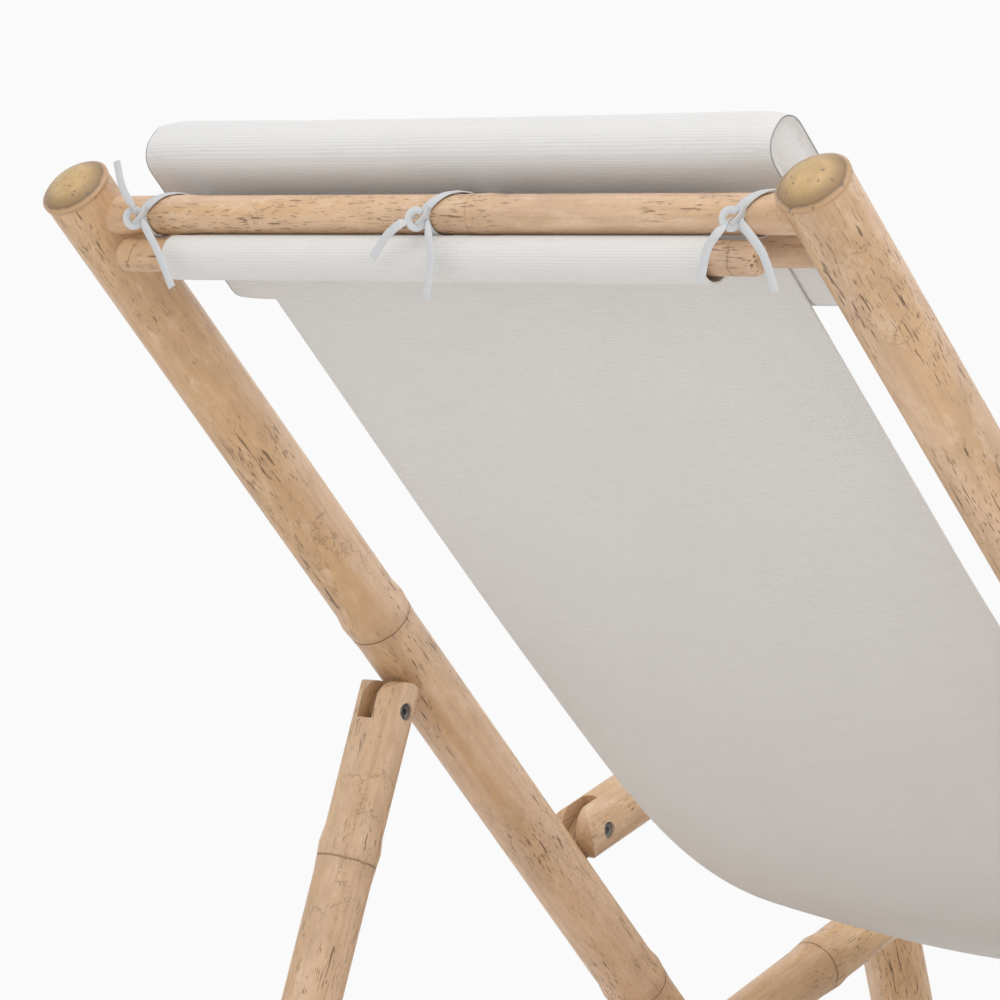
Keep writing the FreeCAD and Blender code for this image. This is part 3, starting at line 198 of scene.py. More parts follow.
class Nodes:
    """A node tree, built by short calls."""

    def __init__(self, tree):
        self.tree = tree

    def add(self, kind, inputs=None, **settings):
        """New node; its inputs are constants or sockets of other nodes."""
        node = self.tree.nodes.new(kind)
        for key, value in settings.items():
            setattr(node, key, value)
        for key, value in (inputs or {}).items():
            self.feed(node.inputs[key], value)
        return node

    def feed(self, socket, value):
        """Set a socket, or link another socket to it."""
        if isinstance(value, bpy.types.NodeSocket):
            self.tree.links.new(value, socket)
        else:
            socket.default_value = value

    def maths(self, operation, first, second=0.0, clamp=False):
        """One step of arithmetic."""
        node = self.add("ShaderNodeMath", {0: first, 1: second}, operation=operation)
        node.use_clamp = clamp
        return node.outputs[0]

    def ramp(self, value, low, high, to_low=0.0, to_high=1.0):
        """Smooth step from one level to another."""
        node = self.add("ShaderNodeMapRange", interpolation_type="SMOOTHSTEP")
        for index, item in enumerate((value, low, high, to_low, to_high)):
            self.feed(node.inputs[index], item)
        return node.outputs[0]

    def mix(self, share, first, second):
        """Mix two colours."""
        node = self.add("ShaderNodeMix", data_type="RGBA", blend_type="MIX")
        self.feed(node.inputs[0], share)
        for index, colour in ((6, first), (7, second)):
            is_socket = isinstance(colour, bpy.types.NodeSocket)
            self.feed(node.inputs[index], colour if is_socket else (*colour, 1.0))
        return node.outputs[2]

    def noise(self, vector, scale, detail, roughness):
        """Noise value at a stretched place."""
        node = self.add("ShaderNodeMapping", {"Vector": vector, "Scale": scale})
        inputs = {"Vector": node.outputs[0], "Scale": 1.0, "Detail": detail,
                  "Roughness": roughness}
        return self.add("ShaderNodeTexNoise", inputs).outputs[0]

    def object_place(self, turn=(0.0, 0.0, 0.0)):
        """Object coordinates, turned."""
        source = self.add("ShaderNodeTexCoord").outputs["Object"]
        inputs = {"Vector": source, "Rotation": turn}
        return self.add("ShaderNodeMapping", inputs, vector_type="POINT").outputs[0]

    def seen(self):
        """1 for rays that show a surface to the camera, 0 for those that only light."""
        path = self.add("ShaderNodeLightPath").outputs
        seen = self.maths("MAXIMUM", path["Is Camera Ray"], path["Is Glossy Ray"])
        return self.maths("MAXIMUM", seen, path["Is Transmission Ray"])


class Shader(Nodes):
    """A material with one Principled surface."""

    def __init__(self, name):
        self.material = bpy.data.materials.new(name)
        self.material.use_nodes = True
        super().__init__(self.material.node_tree)
        self.surface = self.tree.nodes["Principled BSDF"]

    def bump(self, height, strength, distance):
        """Bump on the surface from a height value."""
        inputs = {"Height": height, "Strength": strength, "Distance": distance}
        node = self.add("ShaderNodeBump", inputs)
        self.feed(self.surface.inputs["Normal"], node.outputs[0])

    def finish(self, colour, roughness, **constants):
        """Feed the surface's colour, roughness and constants."""
        self.feed(self.surface.inputs["Base Color"], colour)
        self.feed(self.surface.inputs["Roughness"], roughness)
        for name, value in constants.items():
            self.surface.inputs[name.replace("_", " ")].default_value = value
        return self.material


def turn_to(direction):
    """Mapping rotation that lays a direction in the side plane, or X, along Z."""
    if abs(direction.x) > 0.5:
        return (0.0, math.radians(-90), 0.0)
    return (math.atan2(direction.y, direction.z), 0.0, 0.0)


# Noise fields of the bamboo: scale across, across and along the pole, detail, roughness.
POLE_FIELDS = {
    "streaks": ((260.0, 260.0, 9.0), 4.0, 0.62),
    "clouds": ((24.0, 24.0, 6.0), 3.0, 0.55),
    "bands": ((38.0, 38.0, 2.2), 2.0, 0.5),
    "pepper": ((1500.0, 1500.0, 420.0), 3.0, 0.65),
    "mottle": ((110.0, 110.0, 45.0), 4.0, 0.65),
    "area": ((26.0, 26.0, 9.0), 2.0, 0.5),
    "fine": ((760.0, 760.0, 120.0), 2.0, 0.5),
    "long": ((460.0, 460.0, 42.0), 2.0, 0.5),
    "blots": ((150.0, 150.0, 60.0), 2.0, 0.55),
    "crack area": ((15.0, 15.0, 8.0), 2.0, 0.6),
}
# Flecks: field, its levels from none to full, the same of the area, strength.
POLE_FLECKS = (
    ("fine", (0.59, 0.68), (0.38, 0.60), 0.62),
    ("long", (0.62, 0.69), (0.44, 0.58), 0.78),
    ("blots", (0.70, 0.76), (0.50, 0.60), 0.66),
)
# Shades laid over the base: field, its levels from none to full, strength, colour.
POLE_SHADES = (
    ("streaks", (0.44, 0.72), 0.38, "bamboo_dark"),
    ("mottle", (0.50, 0.72), 0.45, "bamboo_pale"),
    ("mottle", (0.50, 0.30), 0.35, "bamboo_dark"),
    ("pepper", (0.52, 0.72), 0.40, "bamboo_dark"),
)


def crack_lines(shader, place, area):
    """Edges of warped cells, where an area lets them show."""
    wander = shader.add("ShaderNodeTexNoise", {"Vector": place, "Scale": 34.0, "Detail": 4.0,
                                               "Roughness": 0.65}).outputs[1]
    warp = shader.add("ShaderNodeVectorMath", {0: wander, 1: (0.05, 0.05, 0.05)},
                      operation="MULTIPLY").outputs[0]
    warped = shader.add("ShaderNodeVectorMath", {0: place, 1: warp}, operation="ADD").outputs[0]
    cell_place = shader.add("ShaderNodeMapping", {"Vector": warped, "Scale": (26.0, 26.0, 15.0)})
    cells = shader.add("ShaderNodeTexVoronoi", {"Vector": cell_place.outputs[0], "Scale": 1.0},
                       feature="DISTANCE_TO_EDGE").outputs[0]
    return shader.maths("MULTIPLY", shader.ramp(cells, 0.022, 0.002),
                        shader.ramp(area, 0.52, 0.62))


def bamboo(name, direction, origin, stations, tone, crackle):
    """Varnished bamboo with grain along the pole, flecks, fine cracks and node creases."""
    colours = bpy.context.scene.recliner_colours
    shader = Shader(name)
    place = shader.object_place(turn_to(direction))
    along = shader.add("ShaderNodeSeparateXYZ", {0: place}).outputs[2]
    along = shader.maths("SUBTRACT", along, origin.dot(direction))
    fields = {key: shader.noise(place, *settings) for key, settings in POLE_FIELDS.items()}
    marks = 0.0
    for field, levels, area_levels, strength in POLE_FLECKS:
        fleck = shader.maths("MULTIPLY", shader.ramp(fields[field], *levels),
                             shader.ramp(fields["area"], *area_levels))
        marks = shader.maths("MAXIMUM", marks, shader.maths("MULTIPLY", fleck, strength))
    cracks = crack_lines(shader, place, fields["crack area"])
    base = shader.mix(shader.ramp(fields["bands"], 0.35, 0.65), colours.bamboo,
                      colours.bamboo_gold)
    shade = shader.ramp(fields["clouds"], 0.38, 0.72, 0.0, 0.55)
    base = shader.mix(shader.maths("ADD", shade, tone, clamp=True), base, colours.bamboo_dark)
    for field, levels, strength, colour in POLE_SHADES:
        share = shader.ramp(fields[field], *levels, 0.0, strength)
        base = shader.mix(share, base, getattr(colours, colour))
    base = shader.mix(marks, base, colours.fleck)
    base = shader.mix(shader.maths("MULTIPLY", cracks, crackle), base, colours.fleck)
    height = shader.maths("SUBTRACT", fields["streaks"], marks)
    height = shader.maths("SUBTRACT", height, shader.maths("MULTIPLY", cracks, 0.5))
    if stations:
        waver = shader.maths("SUBTRACT", fields["mottle"], 0.5)
        line = shader.maths("ADD", along, shader.maths("MULTIPLY", waver, 0.006))
        creases = rings = 0.0
        for station in stations:
            distance = shader.maths("ABSOLUTE", shader.maths("SUBTRACT", line, station))
            creases = shader.maths("MAXIMUM", creases, shader.ramp(distance, 0.0013, 0.0003))
            rings = shader.maths("MAXIMUM", rings, shader.ramp(distance, 0.014, 0.001))
        base = shader.mix(shader.maths("MULTIPLY", rings, 0.22), base, colours.bamboo_dark)
        base = shader.mix(shader.maths("MULTIPLY", creases, 0.28), base, colours.fleck)
        height = shader.maths("SUBTRACT", height, creases)
    shader.bump(height, 0.35, 0.0007)
    roughness = shader.ramp(fields["streaks"], 0.3, 0.8, 0.44, 0.60)
    return shader.finish(base, roughness, Specular_IOR_Level=0.42, Coat_Weight=0.08,
                         Coat_Roughness=0.4)


# Domed plugs: radii from the middle, and the colours laid over the golden middle. Two are painted
# shade: one darkens the dome towards its rim, one is a dark ring where the dome meets the rim.
PLUG_MIDDLE, PLUG_RIM, PLUG_POLE = 0.0110, 0.0222, 0.0228
# Radii of the ring of painted shade where the dome meets the rim.
SHADE_BAND_INSIDE, SHADE_BAND_OUTSIDE = (0.0205, 0.0221), (0.0240, 0.0224)
PLUG_GLOW = (0.66, 0.45, 0.21)
# Painted shade: colour that darkens the dome more and more towards its rim.
PLUG_PAINTED_SHADE = (0.22, 0.125, 0.055)
PLUG_EDGE = (0.50, 0.31, 0.165)
# Painted shade: colour of the dark ring where the dome meets the rim.
PLUG_BAND_SHADE = (0.12, 0.075, 0.04)
PLUG_GRIT = (0.25, 0.15, 0.07)
PLUG_PIT = (0.16, 0.12, 0.09)


def plug_finish(name, direction, origin, offset):
    """Domed bamboo node: golden middle, painted shade that darkens it towards the rim and in a ring
    where it meets the rim, small pits.
    """
    colours = bpy.context.scene.recliner_colours
    shader = Shader(name)
    source = shader.add("ShaderNodeTexCoord").outputs["Object"]
    split = shader.add("ShaderNodeSeparateXYZ", {0: source})
    side = shader.maths("SUBTRACT", shader.maths("ABSOLUTE", split.outputs[0]), offset)
    joined = shader.add("ShaderNodeCombineXYZ", {0: side, 1: split.outputs[1], 2: split.outputs[2]})
    turn = Vector(turn_to(direction))
    inputs = {"Vector": joined.outputs[0], "Rotation": turn}
    place = shader.add("ShaderNodeMapping", inputs, vector_type="POINT").outputs[0]
    axis_y = Matrix.Rotation(turn.x, 3, "X") @ origin
    centred = shader.add("ShaderNodeVectorMath", {0: place, 1: (0.0, axis_y.y, 0.0)},
                         operation="SUBTRACT").outputs[0]
    flat = shader.add("ShaderNodeVectorMath", {0: centred, 1: (1.0, 1.0, 0.0)},
                      operation="MULTIPLY").outputs[0]
    reach = shader.add("ShaderNodeVectorMath", {0: flat}, operation="LENGTH").outputs[1]
    clouds = shader.noise(source, (90.0, 90.0, 90.0), 4.0, 0.6)
    waver = shader.maths("MULTIPLY", shader.maths("SUBTRACT", clouds, 0.5), 0.0035)
    reach = shader.maths("ADD", reach, waver)
    rim = shader.ramp(reach, PLUG_RIM, PLUG_POLE)
    # Painted shade: share that grows from the dome's middle out to its rim.
    shade = shader.ramp(reach, PLUG_MIDDLE, PLUG_RIM)
    # Painted shade: a thin ring where the dome meets the rim.
    ring = shader.maths("MULTIPLY", shader.ramp(reach, *SHADE_BAND_INSIDE),
                        shader.ramp(reach, *SHADE_BAND_OUTSIDE))
    grit = shader.noise(source, (900.0, 900.0, 900.0), 3.0, 0.65)
    pits = shader.ramp(shader.noise(source, (240.0, 240.0, 240.0), 1.0, 0.5), 0.68, 0.71)
    base = shader.mix(shader.ramp(clouds, 0.35, 0.7, 0.0, 0.6), colours.plug, PLUG_GLOW)
    # Painted shade laid towards the rim.
    base = shader.mix(shader.maths("MULTIPLY", shade, 0.78), base, PLUG_PAINTED_SHADE)
    base = shader.mix(rim, base, PLUG_EDGE)
    # Painted shade ring where the dome meets the rim.
    base = shader.mix(shader.maths("MULTIPLY", ring, 0.35), base, PLUG_BAND_SHADE)
    base = shader.mix(shader.ramp(grit, 0.50, 0.75, 0.0, 0.35), base, PLUG_GRIT)
    base = shader.mix(shader.maths("MULTIPLY", pits, 0.7), base, PLUG_PIT)
    shader.bump(shader.maths("SUBTRACT", clouds, pits), 0.3, 0.0008)
    return shader.finish(base, 0.42, Specular_IOR_Level=0.5, Coat_Weight=0.15, Coat_Roughness=0.35)


def hardwood(name, direction):
    """Planed hardwood with straight grain."""
    shader = Shader(name)
    place = shader.object_place(turn_to(direction))
    grain = shader.noise(place, (300.0, 300.0, 14.0), 4.0, 0.6)
    bands = shader.noise(place, (60.0, 60.0, 5.0), 2.0, 0.5)
    base = shader.mix(shader.ramp(bands, 0.35, 0.7), (0.47, 0.30, 0.17), (0.30, 0.18, 0.095))
    base = shader.mix(shader.ramp(grain, 0.45, 0.75, 0.0, 0.5), base, (0.18, 0.10, 0.05))
    shader.bump(grain, 0.3, 0.0005)
    return shader.finish(base, 0.55, Specular_IOR_Level=0.4)


def steel(name):
    """Dull zinc-plated steel."""
    colours = bpy.context.scene.recliner_colours
    shader = Shader(name)
    place = shader.object_place()
    scuffs = shader.noise(place, (900.0, 900.0, 900.0), 3.0, 0.6)
    clouds = shader.noise(place, (120.0, 120.0, 120.0), 2.0, 0.5)
    base = shader.mix(shader.ramp(clouds, 0.35, 0.7), colours.steel, (0.12, 0.115, 0.11))
    shader.bump(scuffs, 0.15, 0.0002)
    roughness = shader.ramp(scuffs, 0.3, 0.7, 0.38, 0.55)
    return shader.finish(base, roughness, Metallic=0.75)


RIB_PITCH, WARP_PITCH, HERRINGBONE = 0.0019, 0.0011, 0.0009


def ribbed_cloth(name, colour, rib_strength, seam=None):
    """Woven cloth with fine ribs across its width; a seam attribute lays painted shade, near black,
    in a groove pressed along the seam.
    """
    shader = Shader(name)
    along = shader.add("ShaderNodeAttribute", attribute_name="along").outputs["Fac"]
    place = shader.object_place()
    across = shader.add("ShaderNodeSeparateXYZ", {0: place}).outputs[0]
    wave = shader.maths("SINE", shader.maths("MULTIPLY", along, 2 * math.pi / RIB_PITCH))
    warp_wave = shader.maths("SINE", shader.maths("MULTIPLY", across, 2 * math.pi / WARP_PITCH))
    joined = shader.add("ShaderNodeCombineXYZ", {0: across, 1: along}).outputs[0]
    slubs = shader.noise(joined, (26.0, 900.0, 1.0), 2.0, 0.6)
    threads = shader.noise(joined, (700.0, 40.0, 1.0), 2.0, 0.6)
    clouds = shader.noise(place, (9.0, 9.0, 9.0), 2.0, 0.5)
    dark = tuple(0.90 * part for part in colour)
    rib_share = shader.ramp(wave, -1.0, 1.0, rib_strength, 0.0)
    base = shader.mix(rib_share, colour, tuple(0.72 * part for part in colour))
    base = shader.mix(shader.ramp(slubs, 0.42, 0.75, 0.0, 0.5), base, dark)
    base = shader.mix(shader.ramp(threads, 0.45, 0.75, 0.0, 0.4), base, dark)
    base = shader.mix(shader.ramp(clouds, 0.3, 0.7, 0.0, 0.25), base, dark)
    weave = shader.maths("ADD", wave, shader.maths("MULTIPLY", warp_wave, 0.5))
    weave = shader.maths("ADD", weave, shader.maths("MULTIPLY", slubs, 1.5))
    if seam:
        mark = shader.add("ShaderNodeAttribute", attribute_name=seam).outputs["Fac"]
        # Painted shade: the seam's groove is painted near black, and the bump presses the groove
        # in.
        line = shader.ramp(mark, 0.70, 0.94)
        base = shader.mix(shader.maths("MULTIPLY", line, 0.75), base, (0.16, 0.16, 0.165))
        weave = shader.maths("SUBTRACT", weave, shader.maths("MULTIPLY", line, 3.0))
    shader.bump(weave, 0.30, 0.00022)
    return shader.finish(base, 0.88, Sheen_Weight=0.18, Sheen_Roughness=0.5,
                         Specular_IOR_Level=0.25)


def tape(name):
    """Flat cotton tape with a fine herringbone."""
    colours = bpy.context.scene.recliner_colours
    shader = Shader(name)
    along = shader.add("ShaderNodeAttribute", attribute_name="along").outputs["Fac"]
    place = shader.object_place()
    wave = shader.maths("SINE", shader.maths("MULTIPLY", along, 2 * math.pi / HERRINGBONE))
    fuzz = shader.noise(place, (600.0, 600.0, 600.0), 3.0, 0.6)
    colour = tuple(colours.tie)
    base = shader.mix(shader.ramp(wave, -1.0, 1.0, 0.22, 0.0), colour,
                      tuple(0.75 * part for part in colour))
    base = shader.mix(shader.ramp(fuzz, 0.4, 0.7, 0.0, 0.3), base,
                      tuple(0.85 * part for part in colour))
    shader.bump(shader.maths("ADD", wave, fuzz), 0.3, 0.0002)
    return shader.finish(base, 0.85, Sheen_Weight=0.15, Specular_IOR_Level=0.25)


# Mesh helpers

def clear_selection():
    """Leave nothing selected."""
    for item in bpy.context.selected_objects:
        item.select_set(False)


def pick(piece):
    """Make a piece the active one and the only one selected."""
    clear_selection()
    bpy.context.view_layer.objects.active = piece
    piece.select_set(True)


def grid(name, columns, rows):
    """Flat grid of quads, ready to be laid along a path; columns run across."""
    clear_selection()
    bpy.ops.mesh.primitive_grid_add(x_subdivisions=columns, y_subdivisions=rows, size=1.0)
    piece = bpy.context.object
    piece.name = name
    piece.data.name = name
    return piece


def lay(piece, rule):
    """Move each vertex of a grid by a rule of its share across and its share along."""
    along = piece.data.attributes.new("along", "FLOAT", "POINT")
    for vertex in piece.data.vertices:
        across_share = vertex.co.x + 0.5
        along_share = vertex.co.y + 0.5
        place, length = rule(across_share, along_share)
        vertex.co = place
        along.data[vertex.index].value = length
    piece.data.update()


def apply_modifier(piece, kind, **settings):
    """Add a modifier and apply it."""
    pick(piece)
    modifier = piece.modifiers.new(kind.title(), kind)
    for key, value in settings.items():
        setattr(modifier, key, value)
    bpy.ops.object.modifier_apply(modifier=modifier.name)


def smooth(piece, angle=40.0):
    """Shade smooth, with sharp edges kept past an angle."""
    pick(piece)
    bpy.ops.object.shade_smooth_by_angle(angle=math.radians(angle))


def dress(piece, material):
    """Give a piece one material."""
    piece.data.materials.clear()
    piece.data.materials.append(material)


def polar(reach, heading):
    """Forward and up parts of a length at a heading in degrees."""
    angle = math.radians(heading)
    return Vector((reach * math.cos(angle), reach * math.sin(angle)))


TIGHT_BEND = 0.4
LONG_STEP, SHORT_STEP, BEND_STEP = 0.012, 0.0018, math.radians(9.0)


def move_length(move):
    """Length of one run or bend of the sling's line."""
    return move[1] if move[0] == "run" else move[1] * math.radians(abs(move[2]))


def sling_line():
    """Length of the sling and a rule that gives its middle line at a distance.

    The rule returns forward and up as a vector, and the heading.
    """
    runs = []
    point = Vector(SLING_START)
    heading = SLING_HEADING
    total = 0.0
    for move in SLING_MOVES:
        length = move_length(move)
        if move[0] == "run":
            runs.append((total, length, point.copy(), heading, None, 0.0))
            point = point + polar(length, heading)
        else:
            bend, turn = move[1:]
            side = math.copysign(90, turn)
            centre = point + polar(bend, heading + side)
            runs.append((total, length, centre, heading, bend, turn))
            heading = heading + turn
            point = centre + polar(bend, heading - side)
        total += length

    def place(distance):
        for start, length, spot, angle, bend, turn in runs:
            if distance <= start + length:
                break
        share = min(max((distance - start) / length, 0.0), 1.0)
        if bend is None:
            return spot + polar(length * share, angle), angle
        direction = angle + turn * share
        return spot + polar(bend, direction - math.copysign(90, turn)), direction

    return total, place


def sling_stations(total):
    """Distances along the sling, close together in its tight bends."""
    distances = [0.0]
    start = 0.0
    for move in SLING_MOVES:
        length = move_length(move)
        if move[0] == "run" or move[1] > TIGHT_BEND:
            step = LONG_STEP
        else:
            step = max(move[1] * BEND_STEP, SHORT_STEP)
        count = max(2, round(length / step))
        distances += [start + length * number / count for number in range(1, count + 1)]
        start += length
    distances[-1] = total
    return distances


# Pieces

class MakeSling(Operator):
    """Canvas sling from its top hem pocket to its front hem pocket"""

    bl_idname = "recliner.sling"
    bl_label = "Sling"

    def execute(self, context):
        sizes = context.scene.recliner_sizes
        colours = context.scene.recliner_colours
        total, place = sling_line()
        stops = sling_stations(total)
        rows = len(stops) - 1
        half = sizes.sling_width / 2
        sling = grid("sling_canvas", SLING_COLUMNS, rows)

        def rule(across_share, along_share):
            distance = stops[round(along_share * rows)]
            spot, heading = place(distance)
            x = (across_share * 2 - 1) * half
            free = min(max((distance - HELD_TOP) / EASE, 0.0), 1.0)
            free *= min(max((total - HELD_FRONT - distance) / EASE, 0.0), 1.0)
            sag = SAG * free * (1 - (x / half) ** 2)
            narrow = 1 - NARROWING * free
            ripple = noise.noise(Vector((x * 9, distance * 5, 0.3))) * RIPPLE * free
            lift = polar(ripple - sag, heading + 90)
            return Vector((x * narrow, -(spot.x + lift.x), spot.y + lift.y)), distance

        lay(sling, rule)
        apply_modifier(sling, "SOLIDIFY", thickness=sizes.canvas_thickness, offset=0.0)
        pick(sling)
        bpy.ops.object.mode_set(mode="EDIT")
        bpy.ops.mesh.select_all(action="SELECT")
        bpy.ops.mesh.normals_make_consistent(inside=False)
        bpy.ops.object.mode_set(mode="OBJECT")
        smooth(sling, 50.0)
        dress(sling, ribbed_cloth("sling canvas", tuple(colours.canvas), 0.12))
        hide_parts("sling_back", "sling_hip", "sling_seat")
        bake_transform(sling)
        return {"FINISHED"}


PILLOW_CORNER = 0.0165
RAIL_TO_PILLOW = 0.0268
PILLOW_CUTS = ((0, 99), (2, 23))
END_INSET, END_RINGS = 0.0042, 3
RIM_CREASE = 0.85
# How far each part of the cover may swell, as shares of the puff or a length.
END_SHARE, BACK_SHARE, EDGE_SHARE, END_ROOM = 0.10, 0.08, 0.20, 0.0035
EDGE_BAND, END_BAND = 0.012, 0.002
QUICK_PUFF = 0.6
GATHER_LENGTH, GATHER_HEIGHT, GATHER_DEPTH = 0.022, 0.030, 0.06


class MakePillow(Operator):
    """Boxed headrest pillow, puffed by its filling"""

    bl_idname = "recliner.pillow"
    bl_label = "Headrest pillow"

    def execute(self, context):
        sizes = context.scene.recliner_sizes
        colours = context.scene.recliner_colours
        half = Vector((sizes.pillow_width, sizes.pillow_thickness, sizes.pillow_height)) / 2
        pillow = self.case(context, half)
        rims = self.rims(pillow, half)
        start = [vertex.co.copy() for vertex in pillow.data.vertices]
        self.puff(context, pillow, sizes)
        self.settle(pillow, start, half, sizes.pillow_puff)
        # The rims' vertices carry the seam mark, where the cover's material paints shade in a
        # groove.
        seam = pillow.data.attributes.new("seam", "FLOAT", "POINT")
        for number in rims:
            seam.data[number].value = 1.0
        apply_modifier(pillow, "SUBSURF", levels=1, render_levels=1)
        girth = pillow.data.attributes.new("along", "FLOAT", "POINT")
        for vertex in pillow.data.vertices:
            girth.data[vertex.index].value = self.round_girth(vertex.co, half.y, half.z)
            front = RAIL_TO_PILLOW + half.y - vertex.co.y
            vertex.co = back_point(vertex.co.x + sizes.pillow_shift,
                                   sizes.pillow_reach + vertex.co.z, front)
        pillow.data.update()
        smooth(pillow, 50.0)
        dress(pillow, ribbed_cloth("pillow cover", tuple(colours.pillow), 0.20, "seam"))
        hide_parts("headrest_pillow")
        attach(pillow, "back_frame")
        return {"FINISHED"}

    def case(self, context, half):
        """Box with rounded long edges, cut into even quads and closed by inset ends."""
        clear_selection()
        bpy.ops.mesh.primitive_cube_add(size=1.0)
        pillow = context.object
        pillow.name = "pillow_cover"
        bpy.ops.object.mode_set(mode="EDIT")
        bpy.ops.mesh.select_all(action="SELECT")
        bpy.ops.transform.resize(value=2 * half)
        bpy.ops.mesh.select_mode(type="EDGE")
        self.pick_edges(pillow, 0, half.x)
        bpy.ops.mesh.bevel(offset=PILLOW_CORNER, segments=6, affect="EDGES")
        for axis, cuts in PILLOW_CUTS:
            self.pick_edges(pillow, axis, half[axis])
            bpy.ops.mesh.subdivide(number_cuts=cuts)
        bpy.ops.mesh.select_mode(type="FACE")
        bpy.ops.mesh.select_all(action="DESELECT")
        bpy.ops.object.mode_set(mode="OBJECT")
        for face in pillow.data.polygons:
            face.select = abs(face.normal.x) > 0.9
        bpy.ops.object.mode_set(mode="EDIT")
        for _ in range(END_RINGS):
            bpy.ops.mesh.inset(thickness=END_INSET, depth=0.0)
        bpy.ops.mesh.poke()
        bpy.ops.object.mode_set(mode="OBJECT")
        return pillow

    def pick_edges(self, pillow, axis, longest):
        """Select the edges that run along one axis and are longer than a limit."""
        bpy.ops.mesh.select_all(action="DESELECT")
        bpy.ops.object.mode_set(mode="OBJECT")
        for edge in pillow.data.edges:
            first, last = [pillow.data.vertices[number].co for number in edge.vertices]
            edge.select = abs(first[axis] - last[axis]) > longest
        bpy.ops.object.mode_set(mode="EDIT")

    def rims(self, pillow, half):
        """Crease the two end rims and give their vertices."""
        crease = pillow.data.attributes.new("crease_edge", "FLOAT", "EDGE")
        found = set()
        for edge in pillow.data.edges:
            ends = [pillow.data.vertices[number].co for number in edge.vertices]
            if all(self.on_rim(spot, half) for spot in ends):
                crease.data[edge.index].value = RIM_CREASE
                found.update(edge.vertices)
        return found

    def on_rim(self, spot, half):
        """True on the outline of an end face."""
        if half.x - abs(spot.x) > 1e-5:
            return False
        y = max(abs(spot.y) - (half.y - PILLOW_CORNER), 0.0)
        z = max(abs(spot.z) - (half.z - PILLOW_CORNER), 0.0)
        return math.hypot(y, z) > PILLOW_CORNER - 0.0004

    def settle(self, pillow, start, half, limit):
        """Limit the swelling: fuller in the middle, flat behind, shallow at the ends."""
        for vertex, before in zip(pillow.data.vertices, start):
            swell = math.cos(math.pi / 2 * min(abs(before.x) / half.x, 1.0)) ** 0.7
            push = vertex.co - before
            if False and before.y < 0:
                push = Vector((0.0, -QUICK_PUFF * limit * swell, 0.0))
            room = limit * (END_SHARE + (1 - END_SHARE) * swell)
            if before.y > 0:
                room *= BACK_SHARE
            if abs(before.z) > half.z - EDGE_BAND:
                room *= EDGE_SHARE
            if half.x - abs(before.x) < END_BAND:
                room = END_ROOM
            if self.on_rim(before, half):
                room = 0.0
            if push.length > room:
                push = push * (room / push.length)
            vertex.co = before + push
            gather = max(1 - (half.x - abs(before.x)) / GATHER_LENGTH, 0.0) ** 2
            vertex.co.z *= 1 - GATHER_HEIGHT * gather
            vertex.co.y -= GATHER_DEPTH * gather * (vertex.co.y - half.y)

    def puff(self, context, pillow, sizes):
        """Let pressure push the cover out, then keep the shape."""
        pick(pillow)
        cloth = pillow.modifiers.new("Cloth", "CLOTH")
        cloth.settings.use_pressure = True
        cloth.settings.uniform_pressure_force = 4.0
        cloth.settings.effector_weights.gravity = 0.0
        cloth.settings.quality = 5
        cloth.point_cache.frame_start = 1
        cloth.point_cache.frame_end = sizes.sim_frames
        for number in range(1, sizes.sim_frames + 1):
            context.scene.frame_set(number)
        bpy.ops.object.modifier_apply(modifier=cloth.name)
        context.scene.frame_set(1)

    def round_girth(self, spot, half_depth, half_height):
        """Distance round the pillow's section."""
        front_share = spot.y / half_depth
        up_share = spot.z / half_height
        if abs(up_share) >= abs(front_share):
            across = spot.y * (1 if up_share > 0 else -1)
            return across + (0.0 if up_share > 0 else 2 * (half_depth + half_height))
        along = -spot.z if front_share > 0 else spot.z
        return along + (half_depth + half_height) * (1 if front_share > 0 else 3)


# The ties: each tie's two tails from the knot to the loose end, and the middle of its knot.
TIE_PATHS = {
    "left": (
        ((0.2447, 0.6271, 0.8620), (0.2377, 0.6391, 0.8680), (0.2437, 0.6416, 0.8800),
         (0.2487, 0.6416, 0.8970)),
        ((0.2407, 0.6271, 0.8580), (0.2247, 0.6401, 0.8530), (0.2127, 0.6416, 0.8380),
         (0.1997, 0.6416, 0.8140)),
    ),
    "middle": (
        ((0.0057, 0.6271, 0.8590), (0.0057, 0.6401, 0.8560), (0.0167, 0.6416, 0.8480),
         (0.0287, 0.6416, 0.8340)),
        ((-0.0033, 0.6271, 0.8570), (-0.0153, 0.6396, 0.8510), (-0.0193, 0.6416, 0.8320),
         (-0.0153, 0.6416, 0.8080)),
    ),
    "right": (
        ((-0.2393, 0.6271, 0.8580), (-0.2413, 0.6396, 0.8520), (-0.2333, 0.6416, 0.8400),
         (-0.2283, 0.6416, 0.8200)),
        ((-0.2453, 0.6271, 0.8580), (-0.2603, 0.6396, 0.8520), (-0.2743, 0.6416, 0.8370),
         (-0.2833, 0.6416, 0.8150)),
    ),
}
KNOT_SPOTS = {"left": (0.2432, 0.6276, 0.8600), "middle": (0.0017, 0.6276, 0.8590),
              "right": (-0.2423, 0.6276, 0.8590)}
TOP_RAIL_REACH = 0.908
TAPE_THICKNESS, KNOT_THICKNESS, TAPE_CROWN = 0.0009, 0.0010, 0.0006
TAIL_WIDTH, LOOP_WIDTH, FOLD_WIDTH = 0.84, 0.66, 0.96
WRAP_RADIUS = 0.0141
# Halves of the wrap round the rail: start and sweep in degrees from the back, drift along X.
TIE_WRAPS = (("over", 8.0, 138.0, -0.026), ("under", -8.0, -140.0, -0.005))


def smooth_path(points, count):
    """Even points on a smooth curve through a few points."""
    spots = [Vector(point) for point in points]
    spots = [spots[0] * 2 - spots[1]] + spots + [spots[-1] * 2 - spots[-2]]
    result = []
    spans = len(spots) - 3
    for number in range(count + 1):
        share = number / count * spans
        span = min(int(share), spans - 1)
        t = share - span
        a, b, c, d = spots[span:span + 4]
        result.append(0.5 * ((2 * b) + (c - a) * t + (2 * a - 5 * b + 4 * c - d) * t ** 2
                             + (3 * b - a - 3 * c + d) * t ** 3))
    return result


